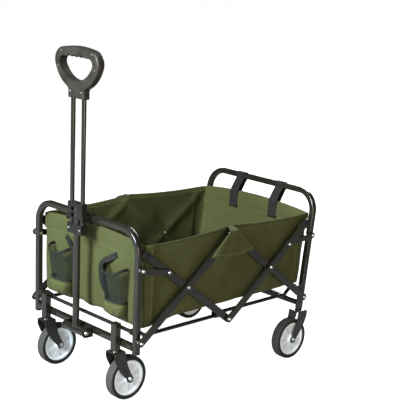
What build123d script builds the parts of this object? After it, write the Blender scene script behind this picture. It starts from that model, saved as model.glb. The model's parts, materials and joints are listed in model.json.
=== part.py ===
from build123d import *
import math
import os

# Folding utility wagon with a telescopic pull handle.
# +X points forward (handle end), +Y to the wagon's left, +Z up.
# The origin is on the floor, midway between the two lower arm pivots. Millimetres.

# Scissor frame
HALF_BASE = 368.0
PIVOT_Z = 212.0
ARM_RISE = 283.0
FOLDED_SPAN = 230.0
ARM_W = 24.0
ARM_T = 7.0
ARM_WALL = 1.2
ARM_EDGE_R = 2.0
ARM_TIP = 24.0
LAYER_GAP = 1.0
FRONT_LINK_REACH = 129.0
REAR_LINK_REACH = 125.0
LINK_W = 20.0

# Tubes of the two end frames
TUBE = 20.0
TUBE_R = 5.0
TUBE_WALL = 1.5
POST_Y = 255.0
POST_BOTTOM_Z = 171.0
FRONT_BAR_Z = 549.0
REAR_BAR_Z = 571.0
BEND_R = 68.0
REAR_LEAN = 7.0
CROSSBAR_Z = 189.0

# Rivets, pins and running fits
RIVET_R = 3.2
RIVET_HEAD_R = 5.6
RIVET_HEAD_H = 3.0
RIVET_FLANGE_T = 1.2
HEAD_TAPER = 28.0
SHOULDER_R = 6.5
RUN_GAP = 0.05
HEAD_GAP = 0.1
FIT_GAP = 0.2

# Wheels, forks and caster posts
WHEEL_R = 70.0
TYRE_W = 34.0
TYRE_INNER_R = 57.0
TYRE_SHOULDER_R = 6.0
HUB_W = 30.0
HUB_WEB_T = 14.0
HUB_RIM_T = 5.0
HUB_DISH = 2.0
HUB_BOSS_R = 13.0
BOSS_GAP = 1.0
AXLE_R = 5.0
AXLE_HEAD_R = 7.5
AXLE_HEAD_H = 4.0
FORK_TOP_Z = 165.0
FORK_T = 3.0
FORK_SIDE_GAP = 3.0
FORK_BEND_R = 4.0
FORK_FRONT = 19.0
FORK_BACK = 22.0
FORK_EYE_R = 13.0
TRAIL = 44.0
CASTER_Y = 182.0
CASTER_POST_X = 22.0
CASTER_POST_Y = 25.0
CASTER_POST_R = 3.0
CASTER_POST_WALL = 2.0
CASTER_POST_TOP_Z = 250.0
CASTER_PLATE_T = 4.0
CASTER_THRUST_GAP = 3.0
KING_R = 6.0
KING_HEAD_R = 8.0
KING_HEAD_H = 5.0
THRUST_R = 10.0
CAP_T = 5.0
CAP_LIP = 1.0
CAP_PLUG = 10.0

# Pull handle
HANDLE_AHEAD = 26.0
BARREL_Z = 186.0
BARREL_R = 13.5
BARREL_HALF_Y = 50.0
EAR_T = 5.0
EAR_GAP = 0.5
EAR_R = 15.0
STEM_R = 11.0
STEM_WALL = 1.5
ROD_R = 7.2
ROD_WALL = 1.5
ROD_SPACING = 54.0
GUIDE_Z = 546.0
GUIDE_H = 51.0
GUIDE_X = 24.0
GUIDE_Y = 72.0
GUIDE_CAP_T = 8.0
GUIDE_WINDOW = 14.0
GUIDE_STEP = 19.0
SLIDER_Z = 498.0
SLIDER_H = 32.0
SLIDER_X = 26.0
SLIDER_Y = 71.0
BLOCK_EDGE_R = 2.5
GRIP_Z = 917.0
GRIP_H = 156.0
GRIP_STEM_Y = 78.0
GRIP_STEM_H = 40.0
GRIP_RING_Z = 135.0
GRIP_RING_R = 113.0
GRIP_CROWN_R = 420.0
GRIP_CORNER_R = 40.0
GRIP_NECK_R = 12.0
GRIP_HOLE_Z = 145.0
GRIP_HOLE_R = 92.0
GRIP_HOLE_TOP = 124.0
GRIP_HOLE_CORNER_R = 18.0
GRIP_HALF_T = 14.0
GRIP_WALL = 4.0
GRIP_SKIN = 4.0
GRIP_EDGE_R = 7.0
GRIP_SPLIT = 0.1
GROOVE_COUNT = 4
GROOVE_PITCH = 22.0
GROOVE_R = 11.0
GROOVE_DEPTH = 6.0
ROD_INSERT = 26.0
SCREW_R = 2.0
SCREW_HEAD_R = 4.0
SCREW_HEAD_H = 1.5
BOSS_R = 5.5
GRIP_SCREWS = ((27.0, 21.0), (90.0, 93.0), (75.0, 139.0))
CLIP_T = 4.0
CLIP_LIP = 14.0
PRONG_T = 5.0
PRONG_H = 20.0

# Fabric tub and what hangs on it
TUB_FLOOR_Z = 243.0
TUB_WALL = 3.0
TUB_SIDE_GAP = 10.0
FRONT_WALL_SETBACK = 23.0
REAR_WALL_SETBACK = 22.0
TUB_CORNER_Z = 506.0
TUB_PEAK_RISE = 13.0
TUB_SAG = 4.0
END_WALL_RISE = 13.0
SEAT_GAP = 0.4
FLAP_T = 2.5
FLAP_HALF_W = 104.0
FLAP_H = 90.0
FLAP_CURVE = 10.0
FLAP_TOP_HALF_W = 12.0
POCKET_Y = 141.0
POCKET_W = 98.0
POCKET_FLARE = 8.0
POCKET_DEPTH = 50.0
POCKET_FOOT_DEPTH = 34.0
POCKET_Z = 262.0
POCKET_H = 156.0
POCKET_R = 16.0
POCKET_WALL = 2.5
STRAP_Y = 96.0
STRAP_W = 36.0
STRAP_T = 2.0
STRAP_INSIDE = 62.0
STRAP_OUTSIDE = 34.0

# Floor rods and the folding bars under the tub
FLOOR_ROD_R = 6.0
FLOOR_BAR_R = 6.0
BAR_EYE_R = 9.5
BAR_EYE_W = 14.0
FRONT_BAR_Y = 236.0
REAR_BAR_Y = 219.0
BAR_DROP = 20.0
CRANK_START = 20.0
CRANK_RUN = 26.0
CRANK_R = 14.0
BAR_OVERLAP = 9.0
HINGE_BLOCK_X = 34.0
HINGE_BLOCK_Y = 15.0
HINGE_BLOCK_DROP = 14.0

# Places that follow from the sizes above
ARM_L = math.hypot(HALF_BASE, ARM_RISE)
OPEN_ANGLE = math.atan2(ARM_RISE, HALF_BASE)
FOLDED_ANGLE = math.acos(FOLDED_SPAN / 2 / ARM_L)
LEAN = math.tan(math.radians(REAR_LEAN))
POST_FACE_Y = POST_Y + TUBE / 2
INNER_Y = POST_FACE_Y + LAYER_GAP
OUTER_Y = INNER_Y + ARM_T + LAYER_GAP
FACE_Y = OUTER_Y + ARM_T
TUB_HALF_Y = INNER_Y - TUB_SIDE_GAP
SIDES = (("left", 1), ("right", -1))
FORK_GAP = TYRE_W + 2 * FORK_SIDE_GAP
FORK_W = FORK_GAP + 2 * FORK_T
CASTER_X = HALF_BASE + TUBE / 2 + CASTER_POST_X / 2
HANDLE_X = HALF_BASE + TUBE / 2 + HANDLE_AHEAD
FLOOR_ROD_Z = TUB_FLOOR_Z - SEAT_GAP - FLOOR_BAR_R
FLOOR_BAR_Z = FLOOR_ROD_Z - BAR_DROP
FRONT_WALL_X = HALF_BASE - FRONT_WALL_SETBACK


def rear_x(z):
    """X of the rear posts' centre line at height z; the rear frame leans back."""
    return -HALF_BASE - (z - PIVOT_Z) * LEAN


def rear_wall_x(z):
    """X of the outer face of the rear fabric wall, parallel to the rear posts."""
    return rear_x(z) + REAR_WALL_SETBACK


def arm_point(reach, angle):
    """Point on an upper arm end's line, reach away from its top pivot, with the pivot above +X."""
    return (HALF_BASE - reach * math.cos(angle), PIVOT_Z + (ARM_L - reach) * math.sin(angle))


def link_anchor(reach, lean):
    """Post pivot of a short link that is equally far from its arm pivot open and folded."""
    x_open, z_open = arm_point(reach, OPEN_ANGLE)
    x_fold, z_fold = arm_point(reach, FOLDED_ANGLE)
    across = x_open - x_fold
    rise = z_open - z_fold
    squares = x_open**2 - x_fold**2 + z_open**2 - z_fold**2
    z = (squares - 2 * (HALF_BASE - lean * PIVOT_Z) * across) / (2 * (lean * across + rise))
    return (HALF_BASE + lean * (z - PIVOT_Z), z)


def flipped(point):
    """The same point at the rear end of the scissor."""
    return (-point[0], point[1])


FRONT_FOOT = (HALF_BASE, PIVOT_Z)
REAR_FOOT = flipped(FRONT_FOOT)
TOP_MID = (0.0, PIVOT_Z + ARM_RISE)
LOW_MID = (0.0, PIVOT_Z)
FRONT_CROSS = arm_point(ARM_L / 2, OPEN_ANGLE)
REAR_CROSS = flipped(FRONT_CROSS)
FRONT_TIP = arm_point(ARM_TIP, OPEN_ANGLE)
REAR_TIP = flipped(FRONT_TIP)
FRONT_ARM_JOINT = arm_point(FRONT_LINK_REACH, OPEN_ANGLE)
REAR_ARM_JOINT = flipped(arm_point(REAR_LINK_REACH, OPEN_ANGLE))
FRONT_POST_JOINT = link_anchor(FRONT_LINK_REACH, 0.0)
REAR_POST_JOINT = flipped(link_anchor(REAR_LINK_REACH, LEAN))
REAR_FORK_X = rear_x(FORK_TOP_Z)
REAR_ROD_X = rear_x(FLOOR_ROD_Z)
BAR_MID_X = (HALF_BASE + REAR_ROD_X) / 2

os.makedirs("parts", exist_ok=True)


def save(part, name):
    """Label a finished piece and write it."""
    part.label = name
    export_step(part, f"parts/{name}.step")


def side_plane(sign, y, start, end=None):
    """Plane across Y at |y| on one side, facing outboard, with local X from start towards end."""
    run = Vector(end[0] - start[0], 0, end[1] - start[1]) if end else Vector(1, 0, 0)
    return Plane(origin=(start[0], sign * y, start[1]), x_dir=run, z_dir=(0, sign, 0))


def across_plane(x, y, z):
    """Plane through a point that faces along -Y, its local X and Y along X and Z."""
    return Plane(origin=(x, y, z), x_dir=(1, 0, 0), z_dir=(0, -1, 0))


def ahead_plane(x, y, z):
    """Plane through a point that faces forward, its local X and Y along Y and Z."""
    return Plane(origin=(x, y, z), x_dir=(0, 1, 0), z_dir=(1, 0, 0))


def between(start, end):
    """Distance between two X-Z points."""
    return math.hypot(end[0] - start[0], end[1] - start[1])


def hollow_square(plane, size_x, size_y, radius, wall):
    """Sketch of a rounded box tube section."""
    with BuildSketch(plane) as section:
        RectangleRounded(size_x, size_y, radius)
        RectangleRounded(size_x - 2 * wall, size_y - 2 * wall, radius - wall, mode=Mode.SUBTRACT)
    return section.sketch


def pin(plane, length, radius, head_r, head_h, flange_r, flange_t, shoulder=None, shoulder_r=0.0):
    """Add a headed pin along the plane's normal, with a flange under it and an optional shoulder."""
    stages = [(-flange_t, 0.0, flange_r, 0.0), (0.0, length, radius, 0.0),
              (length, length + head_h, head_r, HEAD_TAPER)]
    if shoulder:
        stages.append((*shoulder, shoulder_r, 0.0))
    for low, high, stage_r, taper in stages:
        with BuildSketch(plane.offset(low)) as disc:
            Circle(stage_r)
        extrude(disc.sketch, amount=high - low, taper=taper)


def rivet(sign, y_from, y_to, point, shoulder_from=None, shoulder_to=None, flange_t=RIVET_FLANGE_T):
    """Add a rivet on one side, clamping from y_from out to y_to."""
    start = y_from - HEAD_GAP
    shoulder = None
    if shoulder_from is not None:
        shoulder = (shoulder_from + HEAD_GAP - start, shoulder_to - HEAD_GAP - start)
    pin(side_plane(sign, start, point), y_to + HEAD_GAP - start, RIVET_R, RIVET_HEAD_R, RIVET_HEAD_H,
        RIVET_HEAD_R, flange_t, shoulder, SHOULDER_R)


def flat_arm(sign, y, start, end, pivots, width=ARM_W):
    """Flat tube with closed round ends, from start to end, bored at distances pivots from start."""
    length = between(start, end)
    plane = side_plane(sign, y, start, end)
    with BuildPart() as arm:
        with BuildSketch(plane):
            with Locations((length / 2, 0)):
                SlotCenterToCenter(length, width)
        extrude(amount=ARM_T)
        fillet(arm.faces().filter_by(Axis.Y).edges(), ARM_EDGE_R)
        with BuildSketch(plane.offset(ARM_WALL)):
            with Locations((length / 2, 0)):
                SlotCenterToCenter(length, width - 2 * ARM_WALL)
        extrude(amount=ARM_T - 2 * ARM_WALL, mode=Mode.SUBTRACT)
        with BuildSketch(plane):
            with Locations(*[(pivot, 0) for pivot in pivots]):
                Circle(RIVET_R + RUN_GAP)
        extrude(amount=ARM_T, mode=Mode.SUBTRACT)
    return arm.part


def drill_post(points):
    """Bore both posts of an end frame along Y at X-Z points."""
    with BuildSketch(Plane.XZ) as bores:
        with Locations(*points):
            Circle(RIVET_R + RUN_GAP)
    extrude(bores.sketch, amount=POST_FACE_Y + TUBE, both=True, mode=Mode.SUBTRACT)


# Front end frame: an upright hoop of square tube
with BuildPart() as front_u_frame:
    with BuildLine(Plane.YZ.offset(HALF_BASE)) as front_path:
        FilletPolyline((-POST_Y, POST_BOTTOM_Z), (-POST_Y, FRONT_BAR_Z), (POST_Y, FRONT_BAR_Z),
                       (POST_Y, POST_BOTTOM_Z), radius=BEND_R)
    front_start = Plane(origin=front_path.line @ 0, x_dir=(1, 0, 0), z_dir=front_path.line % 0)
    sweep(hollow_square(front_start, TUBE, TUBE, TUBE_R, TUBE_WALL), path=front_path.line)
    drill_post([FRONT_FOOT, FRONT_POST_JOINT])
save(front_u_frame.part, "front_u_frame")

# Rear push frame: the same hoop, leaning back, its feet cut level for the wheel forks
lean_plane = Plane(origin=(-HALF_BASE, 0, PIVOT_Z), x_dir=(0, 1, 0), z_dir=(1, 0, LEAN))
lean_scale = math.hypot(1, LEAN)
rear_bar_t = (REAR_BAR_Z - PIVOT_Z) * lean_scale
rear_foot_t = (FORK_TOP_Z - TUBE - PIVOT_Z) * lean_scale
with BuildPart() as rear_u_frame:
    with BuildLine(lean_plane) as rear_path:
        FilletPolyline((-POST_Y, rear_foot_t), (-POST_Y, rear_bar_t), (POST_Y, rear_bar_t),
                       (POST_Y, rear_foot_t), radius=BEND_R)
    rear_start = Plane(origin=rear_path.line @ 0, x_dir=lean_plane.z_dir, z_dir=rear_path.line % 0)
    sweep(hollow_square(rear_start, TUBE, TUBE, TUBE_R, TUBE_WALL), path=rear_path.line)
    drill_post([REAR_FOOT, REAR_POST_JOINT])
    split(bisect_by=Plane.XY.offset(FORK_TOP_Z), keep=Keep.TOP)
save(rear_u_frame.part, "rear_u_frame")


def cross_tube(x, z):
    """Square tube between the two posts of an end frame."""
    with BuildPart() as tube:
        section = hollow_square(across_plane(x, 0, z), TUBE, TUBE, TUBE_R, TUBE_WALL)
        extrude(section, amount=POST_Y - TUBE / 2, both=True)
    return tube.part


def cross_rod(x, z):
    """Round rod between the two posts of an end frame."""
    with BuildPart() as rod:
        with BuildSketch(across_plane(x, 0, z)):
            Circle(FLOOR_ROD_R)
            Circle(FLOOR_ROD_R - TUBE_WALL, mode=Mode.SUBTRACT)
        extrude(amount=POST_Y - TUBE / 2, both=True)
    return rod.part


save(cross_tube(HALF_BASE, CROSSBAR_Z), "front_crossbar")
save(cross_tube(rear_x(CROSSBAR_Z), CROSSBAR_Z), "rear_crossbar")
save(cross_rod(HALF_BASE, FLOOR_ROD_Z), "front_floor_rod")
save(cross_rod(REAR_ROD_X, FLOOR_ROD_Z), "rear_floor_rod")

# Scissor arms: a and c lie in the outer layer, b and d in the inner one
for side, sign in SIDES:
    save(flat_arm(sign, OUTER_Y, FRONT_FOOT, TOP_MID, (0, ARM_L / 2, ARM_L)), f"arm_a_{side}")
    save(flat_arm(sign, INNER_Y, LOW_MID, FRONT_TIP, (0, ARM_L / 2, ARM_L - FRONT_LINK_REACH)),
         f"arm_b_{side}")
    save(flat_arm(sign, OUTER_Y, LOW_MID, REAR_TIP, (0, ARM_L / 2, ARM_L - REAR_LINK_REACH)),
         f"arm_c_{side}")
    save(flat_arm(sign, INNER_Y, REAR_FOOT, TOP_MID, (0, ARM_L / 2, ARM_L)), f"arm_d_{side}")

# Short links that steady the arms on the posts
for name, y, start, end in (("front_links", OUTER_Y, FRONT_POST_JOINT, FRONT_ARM_JOINT),
                            ("rear_links", INNER_Y, REAR_POST_JOINT, REAR_ARM_JOINT)):
    with BuildPart() as links:
        for side, sign in SIDES:
            add(flat_arm(sign, y, start, end, (0, between(start, end)), LINK_W))
    save(links.part, name)


def end_caps(y, tip, inward):
    """Plastic boots over the upper ends of one pair of arms, open on the inboard face."""
    grow = CAP_LIP + HEAD_GAP
    with BuildPart() as caps:
        for side, sign in SIDES:
            plane = side_plane(sign, y, tip, inward)
            for size, amount, mode in ((ARM_W + 2 * grow, ARM_T + grow, Mode.ADD),
                                       (ARM_W + 2 * HEAD_GAP, ARM_T + HEAD_GAP, Mode.SUBTRACT)):
                with BuildSketch(plane):
                    with Locations((ARM_W / 2, 0)):
                        SlotCenterToCenter(ARM_W, size)
                    with Locations((ARM_W / 2, 0)):
                        Rectangle(2 * size, 2 * size, align=(Align.MIN, Align.CENTER), mode=Mode.SUBTRACT)
                extrude(amount=amount, mode=mode)
    return caps.part


save(end_caps(INNER_Y, FRONT_TIP, LOW_MID), "front_end_caps")
save(end_caps(OUTER_Y, REAR_TIP, LOW_MID), "rear_end_caps")

# Rivets, grouped by the body that holds them; a link's arm end has a stub in the outer layer
for name, points, stubs in (("arm_a_rivets", (FRONT_CROSS, TOP_MID), ()),
                            ("arm_c_rivets", (REAR_CROSS, LOW_MID), (REAR_ARM_JOINT,)),
                            ("front_link_rivets", (), (FRONT_ARM_JOINT,))):
    with BuildPart() as rivets:
        for side, sign in SIDES:
            for point in points:
                rivet(sign, INNER_Y, FACE_Y, point)
            for point in stubs:
                rivet(sign, OUTER_Y, FACE_Y, point, flange_t=LAYER_GAP / 2)
    save(rivets.part, name)

post_back_y = POST_Y - TUBE / 2
with BuildPart() as front_rivets:
    for side, sign in SIDES:
        for point in (FRONT_FOOT, FRONT_POST_JOINT):
            rivet(sign, post_back_y, FACE_Y, point, POST_FACE_Y, OUTER_Y)
save(front_rivets.part, "front_rivets")

with BuildPart() as rear_rivets:
    for side, sign in SIDES:
        for point in (REAR_FOOT, REAR_POST_JOINT):
            rivet(sign, post_back_y, INNER_Y + ARM_T, point)
save(rear_rivets.part, "rear_rivets")


def fork(x, y, toward, king):
    """Bent-plate wheel fork under (x, y), its axle trailing along toward (1 or -1)."""
    plane = Plane(origin=(x, y, 0), x_dir=(toward, 0, 0), z_dir=(0, -toward, 0))
    eye = (TRAIL, WHEEL_R)
    with BuildPart() as body:
        with BuildSketch(plane):
            with BuildLine():
                shin = FORK_TOP_Z - FORK_FRONT
                Polyline((-FORK_FRONT, shin), (-FORK_FRONT, FORK_TOP_Z), (FORK_BACK, FORK_TOP_Z))
                back = (eye[0] + FORK_EYE_R, eye[1])
                front = (eye[0] - FORK_EYE_R, eye[1])
                middle = (shin + eye[1]) / 2
                SagittaArc((FORK_BACK, FORK_TOP_Z), back, -FORK_EYE_R / 2)
                ThreePointArc(back, (eye[0], eye[1] - FORK_EYE_R), front)
                ThreePointArc(front, ((front[0] - FORK_FRONT) / 2 - FORK_EYE_R / 2, middle),
                              (-FORK_FRONT, shin))
            make_face()
        extrude(amount=FORK_W / 2, both=True)
        fillet(body.edges().filter_by(Axis.X).group_by(Axis.Z)[-1], FORK_BEND_R)
        with BuildSketch(Plane.XY.offset(FORK_TOP_Z - FORK_T)):
            with Locations((x, y)):
                Rectangle(4 * WHEEL_R, FORK_GAP)
        extrude(amount=-FORK_TOP_Z, mode=Mode.SUBTRACT)
        with BuildSketch(plane):
            with Locations(eye):
                Circle(AXLE_R + RUN_GAP)
        extrude(amount=FORK_W, both=True, mode=Mode.SUBTRACT)
        if king:
            with BuildSketch(Plane.XY.offset(FORK_TOP_Z)):
                with Locations((x, y)):
                    Circle(KING_R + RUN_GAP)
            extrude(amount=-FORK_T, mode=Mode.SUBTRACT)
    return body.part


def axle(sign, x, y):
    """Add an axle pin through a fork, headed at both ends."""
    start = abs(y) - FORK_W / 2 - HEAD_GAP
    pin(side_plane(sign, start, (x, WHEEL_R)), FORK_W + 2 * HEAD_GAP, AXLE_R, AXLE_HEAD_R, AXLE_HEAD_H,
        AXLE_HEAD_R, AXLE_HEAD_H)


def hub(x, y):
    """Moulded wheel centre with a recessed disc and a long bearing boss."""
    rim_r = TYRE_INNER_R - HEAD_GAP
    with BuildPart() as body:
        with BuildSketch(ahead_plane(x, y, WHEEL_R)):
            with BuildLine():
                half = HUB_W / 2
                web = HUB_WEB_T / 2
                boss = FORK_GAP / 2 - BOSS_GAP
                right = [(boss, AXLE_R + RUN_GAP), (boss, HUB_BOSS_R), (web, HUB_BOSS_R + HUB_DISH),
                         (web + HUB_DISH, rim_r - HUB_RIM_T), (half, rim_r - HUB_RIM_T), (half, rim_r)]
                left = [(-u, v) for u, v in reversed(right)]
                Polyline(*right, *left, close=True)
            make_face()
        revolve(axis=Axis((x, y, WHEEL_R), (0, 1, 0)))
    return body.part


def tyre(x, y):
    """Solid tyre ring with rounded shoulders."""
    with BuildPart() as body:
        with BuildSketch(ahead_plane(x, y, WHEEL_R)):
            with Locations((0, (WHEEL_R + TYRE_INNER_R) / 2)):
                Rectangle(TYRE_W, WHEEL_R - TYRE_INNER_R)
            fillet(vertices().group_by(Axis.Y)[-1], TYRE_SHOULDER_R)
        revolve(axis=Axis((x, y, WHEEL_R), (0, 1, 0)))
    return body.part


front_axle_x = CASTER_X - TRAIL
rear_axle_x = REAR_FORK_X + TRAIL
for side, sign in SIDES:
    save(fork(CASTER_X, sign * CASTER_Y, -1, True), f"caster_fork_{side}")
    save(fork(REAR_FORK_X, sign * POST_Y, 1, False), f"rear_fork_{side}")
    with BuildPart() as caster_axle:
        axle(sign, front_axle_x, CASTER_Y)
    save(caster_axle.part, f"caster_axle_{side}")
    save(hub(front_axle_x, sign * CASTER_Y), f"front_hub_{side}")
    save(tyre(front_axle_x, sign * CASTER_Y), f"front_tyre_{side}")
    save(hub(rear_axle_x, sign * POST_Y), f"rear_hub_{side}")
    save(tyre(rear_axle_x, sign * POST_Y), f"rear_tyre_{side}")

with BuildPart() as rear_axles:
    for side, sign in SIDES:
        axle(sign, rear_axle_x, POST_Y)
save(rear_axles.part, "rear_axles")

# Caster posts on the front face of the front crossbar
caster_bottom_z = FORK_TOP_Z + CASTER_THRUST_GAP
caster_h = CASTER_POST_TOP_Z - caster_bottom_z
for side, sign in SIDES:
    with BuildPart() as caster_post:
        foot = Plane.XY.move(Location((CASTER_X, sign * CASTER_Y, caster_bottom_z)))
        with BuildSketch(foot):
            RectangleRounded(CASTER_POST_X, CASTER_POST_Y, CASTER_POST_R)
        extrude(amount=caster_h)
        with BuildSketch(foot.offset(CASTER_PLATE_T)):
            RectangleRounded(CASTER_POST_X - 2 * CASTER_POST_WALL, CASTER_POST_Y - 2 * CASTER_POST_WALL,
                             CASTER_POST_R - CASTER_POST_WALL)
        extrude(amount=caster_h, mode=Mode.SUBTRACT)
        with BuildSketch(foot):
            Circle(KING_R + RUN_GAP)
        extrude(amount=CASTER_PLATE_T, mode=Mode.SUBTRACT)
    save(caster_post.part, f"caster_post_{side}")

with BuildPart() as caster_post_caps:
    for side, sign in SIDES:
        top = Plane.XY.move(Location((CASTER_X, sign * CASTER_Y, CASTER_POST_TOP_Z)))
        with BuildSketch(top):
            RectangleRounded(CASTER_POST_X, CASTER_POST_Y + 2 * CAP_LIP, CASTER_POST_R)
        extrude(amount=CAP_T)
        with BuildSketch(top):
            skirt = 2 * (CASTER_POST_WALL + FIT_GAP)
            Rectangle(CASTER_POST_X - skirt - FIT_GAP, CASTER_POST_Y - skirt - FIT_GAP)
        extrude(amount=-CAP_PLUG)
    fillet(caster_post_caps.faces().group_by(Axis.Z)[-1].edges(), CAP_LIP)
save(caster_post_caps.part, "caster_post_caps")

with BuildPart() as king_bolts:
    for side, sign in SIDES:
        seat_z = caster_bottom_z + CASTER_PLATE_T + HEAD_GAP
        down = Plane(origin=(CASTER_X, sign * CASTER_Y, seat_z), x_dir=(1, 0, 0), z_dir=(0, 0, -1))
        collar = (CASTER_PLATE_T + 2 * HEAD_GAP, seat_z - FORK_TOP_Z - HEAD_GAP)
        pin(down, seat_z - FORK_TOP_Z + FORK_T + HEAD_GAP, KING_R, KING_HEAD_R, KING_HEAD_H,
            KING_HEAD_R, KING_HEAD_H, collar, THRUST_R)
save(king_bolts.part, "king_bolts")

# Handle hinge: two ears on the crossbar and a bolt through the handle's barrel
ear_y = BARREL_HALF_Y + EAR_GAP
crossbar_face_x = HALF_BASE + TUBE / 2
with BuildPart() as handle_ears:
    for side, sign in SIDES:
        with BuildSketch(side_plane(sign, ear_y, (HANDLE_X, BARREL_Z))):
            Circle(EAR_R)
            Rectangle(HANDLE_X - crossbar_face_x, 2 * EAR_R, align=(Align.MAX, Align.CENTER))
            Circle(AXLE_R + RUN_GAP, mode=Mode.SUBTRACT)
        extrude(amount=EAR_T)
save(handle_ears.part, "handle_ears")

with BuildPart() as handle_pivot_bolt:
    bolt_start = ear_y + EAR_T + HEAD_GAP
    pin(side_plane(1, -bolt_start, (HANDLE_X, BARREL_Z)), 2 * bolt_start, AXLE_R, AXLE_HEAD_R,
        AXLE_HEAD_H, AXLE_HEAD_R, AXLE_HEAD_H)
save(handle_pivot_bolt.part, "handle_pivot_bolt")

# Handle: barrel and lower tube, guide block, sliding rods, slider and grip
stem_top_z = GUIDE_Z + GUIDE_H - GUIDE_CAP_T - FIT_GAP
with BuildPart() as handle_lower_tube:
    with BuildSketch(Plane.XY.move(Location((HANDLE_X, 0, BARREL_Z)))):
        Circle(STEM_R)
    extrude(amount=stem_top_z - BARREL_Z)
    barrel_plane = across_plane(HANDLE_X, 0, BARREL_Z)
    with BuildSketch(barrel_plane):
        Circle(BARREL_R)
    extrude(amount=BARREL_HALF_Y, both=True)
    with BuildSketch(barrel_plane):
        Circle(AXLE_R + RUN_GAP)
    extrude(amount=BARREL_HALF_Y, both=True, mode=Mode.SUBTRACT)
    with BuildSketch(Plane.XY.move(Location((HANDLE_X, 0, BARREL_Z + BARREL_R)))):
        Circle(STEM_R - STEM_WALL)
    extrude(amount=stem_top_z - BARREL_Z, mode=Mode.SUBTRACT)
save(handle_lower_tube.part, "handle_lower_tube")

rod_places = [(0, -ROD_SPACING / 2), (0, ROD_SPACING / 2)]


def handle_block(z, height, size_x, size_y, rod_gap):
    """Rounded block round the handle's centre line, bored for the two rods."""
    base = Plane.XY.move(Location((HANDLE_X, 0, z)))
    with BuildPart() as block:
        with BuildSketch(base):
            Rectangle(size_x, size_y)
        extrude(amount=height)
        fillet(block.edges(), BLOCK_EDGE_R)
        with BuildSketch(base):
            with Locations(*rod_places):
                Circle(ROD_R + rod_gap)
        extrude(amount=height, mode=Mode.SUBTRACT)
    return block.part


with BuildPart() as handle_guide:
    add(handle_block(GUIDE_Z, GUIDE_H, GUIDE_X, GUIDE_Y, RUN_GAP))
    with BuildSketch(Plane.XY.move(Location((HANDLE_X, 0, GUIDE_Z)))):
        Circle(STEM_R + RUN_GAP)
    extrude(amount=GUIDE_H - GUIDE_CAP_T, mode=Mode.SUBTRACT)
    window_z = GUIDE_Z + (GUIDE_H - GUIDE_CAP_T) / 2
    with BuildSketch(ahead_plane(HANDLE_X, 0, window_z)):
        with Locations((0, -GUIDE_STEP / 2), (0, GUIDE_STEP / 2)):
            Rectangle(ROD_SPACING - 2 * ROD_R - 2 * CLIP_T, GUIDE_WINDOW)
    extrude(amount=GUIDE_X, both=True, mode=Mode.SUBTRACT)
save(handle_guide.part, "handle_guide")

with BuildPart() as handle_slider:
    add(handle_block(SLIDER_Z, SLIDER_H, SLIDER_X, SLIDER_Y, RUN_GAP))
    with BuildSketch(Plane.XY.move(Location((HANDLE_X, 0, SLIDER_Z)))):
        Circle(STEM_R + RUN_GAP)
    extrude(amount=SLIDER_H, mode=Mode.SUBTRACT)
    slider_mid_z = SLIDER_Z + SLIDER_H / 2
    with BuildSketch(ahead_plane(HANDLE_X, 0, slider_mid_z)):
        with Locations(*[(y, 0) for x, y in rod_places]):
            Circle(SCREW_R + RUN_GAP)
    extrude(amount=SLIDER_X, both=True, mode=Mode.SUBTRACT)
save(handle_slider.part, "handle_slider")

rod_bottom_z = SLIDER_Z + BLOCK_EDGE_R
rod_top_z = GRIP_Z + ROD_INSERT
with BuildPart() as handle_rods:
    with BuildSketch(Plane.XY.move(Location((HANDLE_X, 0, rod_bottom_z)))):
        with Locations(*rod_places):
            Circle(ROD_R)
            Circle(ROD_R - ROD_WALL, mode=Mode.SUBTRACT)
    extrude(amount=rod_top_z - rod_bottom_z)
    cross_points = [(y, slider_mid_z) for x, y in rod_places]
    cross_points += [(sign * GRIP_SCREWS[0][0], GRIP_Z + GRIP_SCREWS[0][1]) for side, sign in SIDES]
    with BuildSketch(Plane.YZ.offset(HANDLE_X)):
        with Locations(*cross_points):
            Circle(SCREW_R + RUN_GAP)
    extrude(amount=SLIDER_X, both=True, mode=Mode.SUBTRACT)
save(handle_rods.part, "handle_rods")

screw_points = [(sign * y, GRIP_Z + z) for y, z in GRIP_SCREWS for side, sign in SIDES]


def grip_circle(z, radius, mode=Mode.ADD):
    """Add a circle on the grip's middle line, z above its foot, with the circle's seam at the bottom."""
    with Locations(Location((0, GRIP_Z + z, 0), (0, 0, -90))):
        Circle(radius, mode=mode)


def grip_outline(plane, inset=0.0):
    """Outer edge of the grip, a crowned ring on a narrow stem, drawn in by an inset."""
    with BuildSketch(plane) as outline:
        grip_circle(GRIP_RING_Z, GRIP_RING_R - inset)
        grip_circle(GRIP_H - GRIP_CROWN_R, GRIP_CROWN_R - inset, Mode.INTERSECT)
        fillet(outline.vertices().group_by(Axis.Y)[-1], GRIP_CORNER_R - inset)
        with Locations((0, GRIP_Z + inset)):
            Rectangle(GRIP_STEM_Y - 2 * inset, GRIP_STEM_H, align=(Align.CENTER, Align.MIN))
        fillet(outline.vertices().group_by(Axis.Y)[1], GRIP_NECK_R + inset)
    return outline.sketch


def finger_hole(plane, grow=0.0):
    """Finger hole of the grip, with a row of finger grooves along its top, grown by a wall."""
    groove_z = GRIP_Z + GRIP_HOLE_TOP + GROOVE_DEPTH - GROOVE_R
    with BuildSketch(plane) as hole:
        grip_circle(GRIP_HOLE_Z, GRIP_HOLE_R + grow)
        with Locations((0, GRIP_Z + GRIP_HOLE_TOP + grow)):
            Rectangle(4 * GRIP_HOLE_R, 4 * GRIP_HOLE_R, align=(Align.CENTER, Align.MAX), mode=Mode.INTERSECT)
        fillet(hole.vertices().group_by(Axis.Y)[-1], GRIP_HOLE_CORNER_R + grow)
        with Locations((0, groove_z)):
            with GridLocations(GROOVE_PITCH, 1, GROOVE_COUNT, 1):
                Circle(GROOVE_R + grow)
    return hole.sketch


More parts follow.
